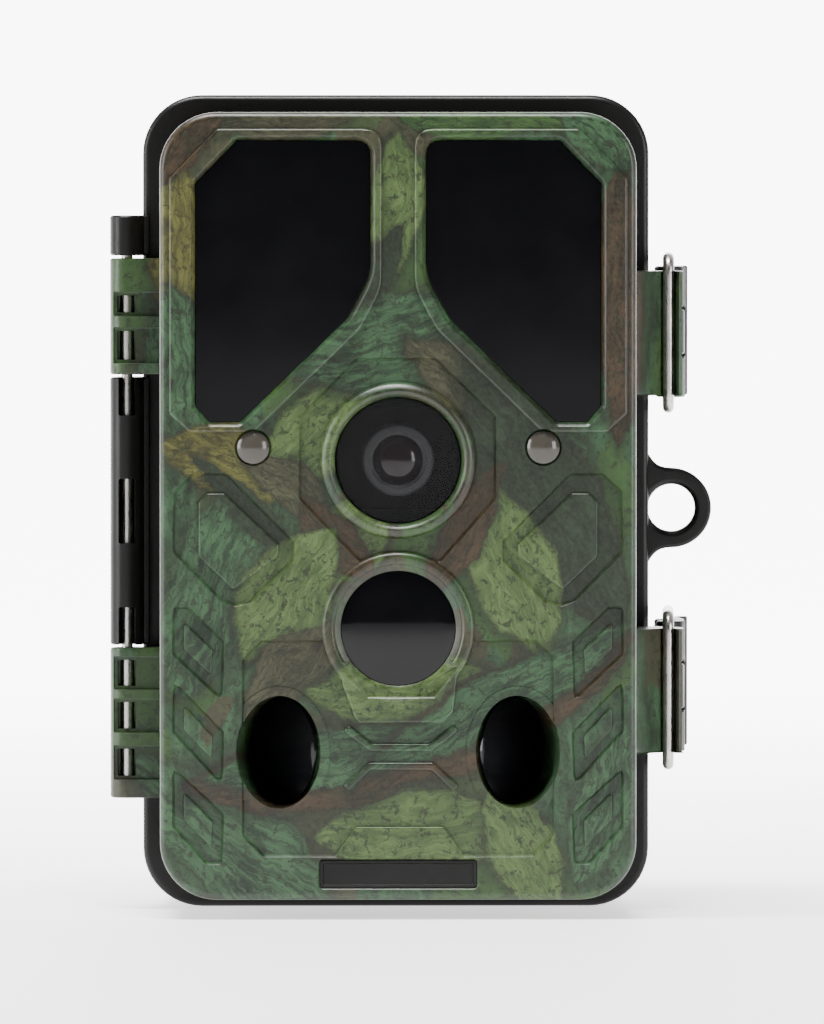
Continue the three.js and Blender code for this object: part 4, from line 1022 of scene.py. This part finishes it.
def build_batteries():
    number = 1
    for low in CELL_ROWS:
        for x in CELL_COLUMNS:
            top = low + CELL_LENGTH
            r = CELL_RADIUS
            profile = [(0, low), (5.2, low), (5.5, low + 0.1), (6.6, low + 0.15), (7.0, low + 0.35),
                       (r, low + 0.7),
                       (r, top - 1.7), (7.0, top - 1.2), (6.6, top - 1.1), (6.1, top - 1.15),
                       (5.8, top - 1.4),
                       (3.2, top - 1.4), (2.75, top - 1.2), (2.7, top - 0.2), (2.5, top), (0, top)]
            cell = turned(f"cell_{number}", profile, (x, CELL_Y, 0), (0, 0, 1), 48)
            finished(cell, cell_wrap, "rear_half", f"battery_cell_{number}", slot="cell_wrap", angle=30)
            cell.data.materials.append(steel)
            for face in cell.data.polygons:
                place = face.center / MM
                face.material_index = int(math.hypot(place.x - x, place.y - CELL_Y) < 6.2)
            number += 1
    low_end, high_end = CELL_ROWS[0] - 2.6, CELL_ROWS[1] + CELL_LENGTH + 2.6
    holder = block("cell_holder", -32.6, 32.6, CELL_Y, REAR_BACK_Y - 2.8, low_end, high_end, 0.6)
    channels = [rod(f"channel {x} {low}", CELL_RADIUS + 0.3, x, CELL_Y, low - 1.6, low + CELL_LENGTH + 1.6,
                    64, 0.1)
                for low in CELL_ROWS for x in CELL_COLUMNS]
    cut(holder, *channels)
    finished(holder, black, "rear_half", "battery_tray", slot="black_plastic")


# ---- Front cover: the control panel at its back ----
BUTTONS = {"menu": (-24, 62, None), "ok": (0, 62, None), "up": (0, 71, 90), "down": (0, 53, -90),
           "left": (9, 62, 0), "right": (-9, 62, 180)}
MODE_SWITCH = (24, 62)
CARD = (-20, 45)
USB = (20, 45)
SPEAKER_Z = 30
SCREEN = (0, 103, 51, 38.4)
PANEL_SCREWS = [(-34.5, 132), (34.5, 132), (-34.5, 76), (34.5, 76), (-34.5, 13), (34.5, 13)]


def through_panel(name, outline):
    """A cutter through the panel whose rim is chamfered at the back, where it is seen."""
    return loft(name, [
        facing(outline, PANEL_FRONT_Y - 1),
        facing(outline, PANEL_BACK_Y - 0.3),
        facing(grown(outline, 0.3), PANEL_BACK_Y),
        facing(grown(outline, 0.3), PANEL_BACK_Y + 1),
    ])


def build_panel():
    width, height = COVER_WIDTH - 2 * COVER_WALL - 0.8, COVER_HEIGHT - 2 * COVER_WALL - 0.8
    outline = rectangle(width, height, 7.2, 0, MIDDLE_Z, 10)
    panel = plate("panel", outline, PANEL_FRONT_Y, PANEL_BACK_Y, 0.1, 0.4)
    x, z, screen_width, screen_height = SCREEN
    cutters = [through_panel("screen hole", rectangle(screen_width, screen_height, 0.8, x, z, 3)),
               through_panel("switch hole", rectangle(4, 17.2, 0.5, *MODE_SWITCH, 3)),
               through_panel("card hole", rectangle(12, 2, 0.3, *CARD, 3)),
               through_panel("port hole", rectangle(9.2, 4, 0.8, *USB, 3))]
    cutters += [through_panel(f"{name} hole", ellipse(3.5, 3.5, x, z, 40))
                for name, (x, z, _) in BUTTONS.items()]
    cutters += [through_panel(f"grille {x} {dz}", ellipse(1, 1, x, SPEAKER_Z + dz, 20))
                for x in (-4.5, 0, 4.5) for dz in (-3, 3)]
    for x, z in PANEL_SCREWS:
        cutters.append(turned(f"counterbore {x} {z}", [(0, -1), (2.3, -1), (2.1, 1.0), (0, 1.0)],
                              (x, PANEL_BACK_Y, z), (0, -1, 0), 32))
    cut(panel, *cutters)
    finished(panel, grey, "front_cover", "inner_panel", slot="grey_panel")
    for number, (x, z) in enumerate(PANEL_SCREWS, 1):
        head = turned(f"panel_screw_{number}", [(0, -0.95), (1.9, -0.95), (1.9, -0.5), (1.6, -0.25),
                                                (0, -0.1)],
                      (x, PANEL_BACK_Y, z), (0, 1, 0), 32)
        deep, proud = PANEL_BACK_Y - 0.5, PANEL_BACK_Y + 1
        cross = [block("recess a", x - 1.1, x + 1.1, deep, proud, z - 0.25, z + 0.25, 0.05),
                 block("recess b", x - 0.25, x + 0.25, deep, proud, z - 1.1, z + 1.1, 0.05)]
        cut(head, *cross)
        finished(head, steel, "front_cover", slot="steel")


def build_controls():
    back_y = PANEL_BACK_Y + 1
    for name, (x, z, heading) in BUTTONS.items():
        front = back_y - 4.4
        profile = [(0, 0), (4.0, 0), (4.2, 0.2), (4.2, 0.9), (4.0, 1.1), (3.2, 1.1), (3.2, 4.0), (3.05, 4.25),
                   (2.8, 4.32), (2.3, 4.2), (0, 4.05)]
        cap = turned(f"{name}_key", profile, (x, front, z), (0, 1, 0), 48)
        if heading is None:
            mark = plate("dot", ellipse(0.8, 0.8, x, z, 24), back_y - 0.6, back_y - 0.04, 0, 0.15)
        else:
            turn = math.radians(heading)
            points = [(x + 1.5 * math.cos(turn + a), z + 1.5 * math.sin(turn + a))
                      for a in (0, 2 * math.pi / 3, 4 * math.pi / 3)]
            mark = plate("arrow", rounded(points, 0.2, 2), back_y - 0.6, back_y - 0.04, 0, 0.15)
        added(cap, mark)
        finished(cap, soft_rubber, f"{name}_button", f"{name}_button", slot="rubber")

    x, z = MODE_SWITCH
    slider = block("slider", x - 3.4, x + 3.4, PANEL_FRONT_Y - 1.6, PANEL_FRONT_Y - 0.3, z - 3.6, z + 3.6,
                   0.2)
    knob = block("knob", x - 1.6, x + 1.6, PANEL_FRONT_Y - 1, PANEL_BACK_Y + 2, z - 2.4, z + 2.4, 0.3)
    grooves = [block(f"grip {k}", x - 2, x + 2, PANEL_BACK_Y + 1.7, PANEL_BACK_Y + 3,
                     z + 1.2 * k - 0.25, z + 1.2 * k + 0.25, 0.1) for k in (-1, 0, 1)]
    cut(added(slider, knob), *grooves)
    slider.name = "mode_slider"
    finished(slider, black, "mode_switch", "mode_switch_knob", slot="black_plastic")

    x, z = CARD
    outline = rounded([(x - 5.5, PARTING_Y - 15), (x + 3.6, PARTING_Y - 15), (x + 4.4, PARTING_Y - 9.5),
                       (x + 4.4, PARTING_Y - 7), (x + 5.5, PARTING_Y - 5.6), (x + 5.5, PARTING_Y),
                       (x - 5.5, PARTING_Y)],
                      0.5, 3)
    card = upright("card_body", outline, z - 0.5, z + 0.5, 0.15)
    finished(card, black, "card", "memory_card", slot="black_plastic")

    speaker = turned("loudspeaker", [(0, 0), (9, 0), (9, 2.2), (8.7, 2.4), (6.2, 4.0), (5.8, 4.2), (0, 4.2)],
                     (0, PANEL_FRONT_Y - 0.3, SPEAKER_Z))
    finished(speaker, black, "front_cover", "speaker", slot="black_plastic")


# ---- Front cover: the camera module behind the lens window ----
def build_camera_module():
    glass_y = FACE_Y + 0.6
    pane = turned("lens_pane", [(0, -1.4), (10.8, -1.4), (11, -1.2), (11, -0.2), (10.8, 0), (0, 0)],
                  (LENS_X, glass_y, LENS_Z), segments=96)
    finished(pane, clear_glass, "front_cover", "lens_window", slot="dark_glass")
    barrel_y = glass_y + 1.8
    profile = [(4.4, -14), (6.3, -14), (6.3, -0.5), (6.1, -0.15), (5.8, 0), (5.1, 0), (4.9, -0.2),
               (4.75, -0.9),
               (4.6, -1.0), (4.55, -1.7), (4.4, -1.8)]
    barrel = turned("objective_barrel", profile, (LENS_X, barrel_y, LENS_Z), segments=96)
    finished(barrel, lens_ring, "front_cover", "lens_barrel", slot="black_plastic")
    element = turned("objective_glass", [(0, -1.3), (4.0, -1.3), (4.1, -1.2)] + domed(4.1, 1.5),
                     (LENS_X, barrel_y + 2.2, LENS_Z), segments=96)
    finished(element, coated_glass, "front_cover", "lens_front_element", slot="dark_glass")


def dress_kept_nodes():
    """Gives CAD pieces whose shape is right fine edges and a finish."""
    kept = {
        circuit: ["main_board", "image_sensor_board", "ir_led_board_left", "ir_led_board_right"],
        black: ["lcd_module", "lens_holder"],
        steel: ["card_socket", "usb_port", "pir_sensor_centre", "pir_sensor_left", "pir_sensor_right",
                "battery_contacts_bottom", "battery_contacts_middle", "battery_contacts_top"],
        screen_glass: ["lcd_window"],
        filter_glass: ["ir_cut_filter"],
    }
    for material, names in kept.items():
        for name in names:
            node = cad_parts[name]
            node.data.materials.clear()
            node.data.materials.append(material)
            edges = node.modifiers.new("fine edges", "BEVEL")
            edges.width = 0.12 * MM
            edges.segments = 2
            edges.limit_method = "ANGLE"
            edges.angle_limit = math.radians(40)


build_cover()
build_face_fittings()
build_camera_module()
build_panel()
build_controls()
build_rear_shell()
for level, z in LATCH_HEIGHTS.items():
    build_lever(level, z)
    build_bail(level, z)
build_rear_fittings()
build_batteries()
dress_kept_nodes()


# ---- Camera, light and floor ----
CAMERA_DISTANCE = 1.9
CAMERA_LENS = 85
CAMERA_ELEVATION = math.radians(1.8)
CAMERA_AZIMUTH = math.radians(0.8)
VIEW_WIDTH = 146.7
# The world is brighter behind the object than in front of it. The floor glows as painted light, also brighter
# behind the object than in front of it.
SKY_FRONT = 0.06
SKY_BACK = 1.1
SKY_HORIZON = 8
FLOOR_REACH = 6.0
FLOOR_DROP = 0.0002
FLOOR_GLOW_FRONT = 0.9
FLOOR_GLOW_BACK = 8.0


def build_stage():
    world = bpy.data.worlds.new("studio")
    bpy.context.scene.world = world
    world.use_nodes = True
    sky = NodeTree(world.node_tree)
    direction = sky.node("ShaderNodeTexCoord").outputs["Generated"]
    toward_back = sky.feed(sky.node("ShaderNodeSeparateXYZ"), Vector=direction).outputs["Y"]
    backdrop = sky.step(toward_back, -0.1, 0.6, SKY_FRONT, SKY_BACK)
    horizon = sky.step(toward_back, 0.8, 0.98, 0, SKY_HORIZON)
    strength = sky.math("ADD", backdrop, horizon)
    sky.feed(world.node_tree.nodes["Background"], Color=(1, 1, 1, 1), Strength=strength)

    bm = bmesh.new()
    for x, y in ((-1, -1), (1, -1), (1, 1), (-1, 1)):
        bm.verts.new((x * FLOOR_REACH, y * FLOOR_REACH, -FLOOR_DROP))
    bm.faces.new(bm.verts)
    floor = new_object("floor", bm)
    shader = Shader("floor")
    depth = shader.feed(shader.node("ShaderNodeSeparateXYZ"), Vector=shader.place()).outputs["Y"]
    # Painted light: the floor emits light, weak in front of the object and strong behind it.
    glow = shader.step(depth, -0.05, 0.8, FLOOR_GLOW_FRONT, FLOOR_GLOW_BACK)
    pale = shader.mix(shader.noise(shader.place(), 8, 3), (0.86, 0.86, 0.86), (0.92, 0.92, 0.92))
    shader.set(Base_Color=pale, Roughness=0.6, Emission_Color=(1, 1, 1, 1), Emission_Strength=glow)
    floor.data.materials.append(shader.material)

    def area(name, place, size, power, aim=(0, 0, 0.07)):
        light = bpy.data.lights.new(name, "AREA")
        light.shape = "RECTANGLE"
        light.size, light.size_y = size
        light.energy = power
        lamp = bpy.data.objects.new(name, light)
        lamp.location = place
        lamp.rotation_euler = (Vector(aim) - Vector(place)).to_track_quat("-Z", "Y").to_euler()
        bpy.context.scene.collection.objects.link(lamp)
    area("left softbox", (-0.9, -0.3, 0.3), (0.3, 0.6), 9)
    area("right softbox", (0.8, -0.6, 0.25), (0.3, 0.5), 6)
    area("top softbox", (-0.1, -0.17, 0.8), (0.5, 0.16), 17)

    camera = bpy.data.cameras.new("camera")
    camera.lens = CAMERA_LENS
    camera.sensor_fit = "HORIZONTAL"
    eye = bpy.data.objects.new("camera", camera)
    aim = Vector((2.85, PARTING_Y, 70.3)) * MM
    level = math.cos(CAMERA_ELEVATION)
    back = Vector((-math.sin(CAMERA_AZIMUTH) * level, -math.cos(CAMERA_AZIMUTH) * level,
                   math.sin(CAMERA_ELEVATION)))
    eye.location = aim + back * CAMERA_DISTANCE
    eye.rotation_euler = (-back).to_track_quat("-Z", "Y").to_euler()
    camera.angle = 2 * math.atan(VIEW_WIDTH * MM / 2 / CAMERA_DISTANCE)
    bpy.context.scene.collection.objects.link(eye)
    bpy.context.scene.camera = eye


build_stage()
bpy.context.view_layer.update()
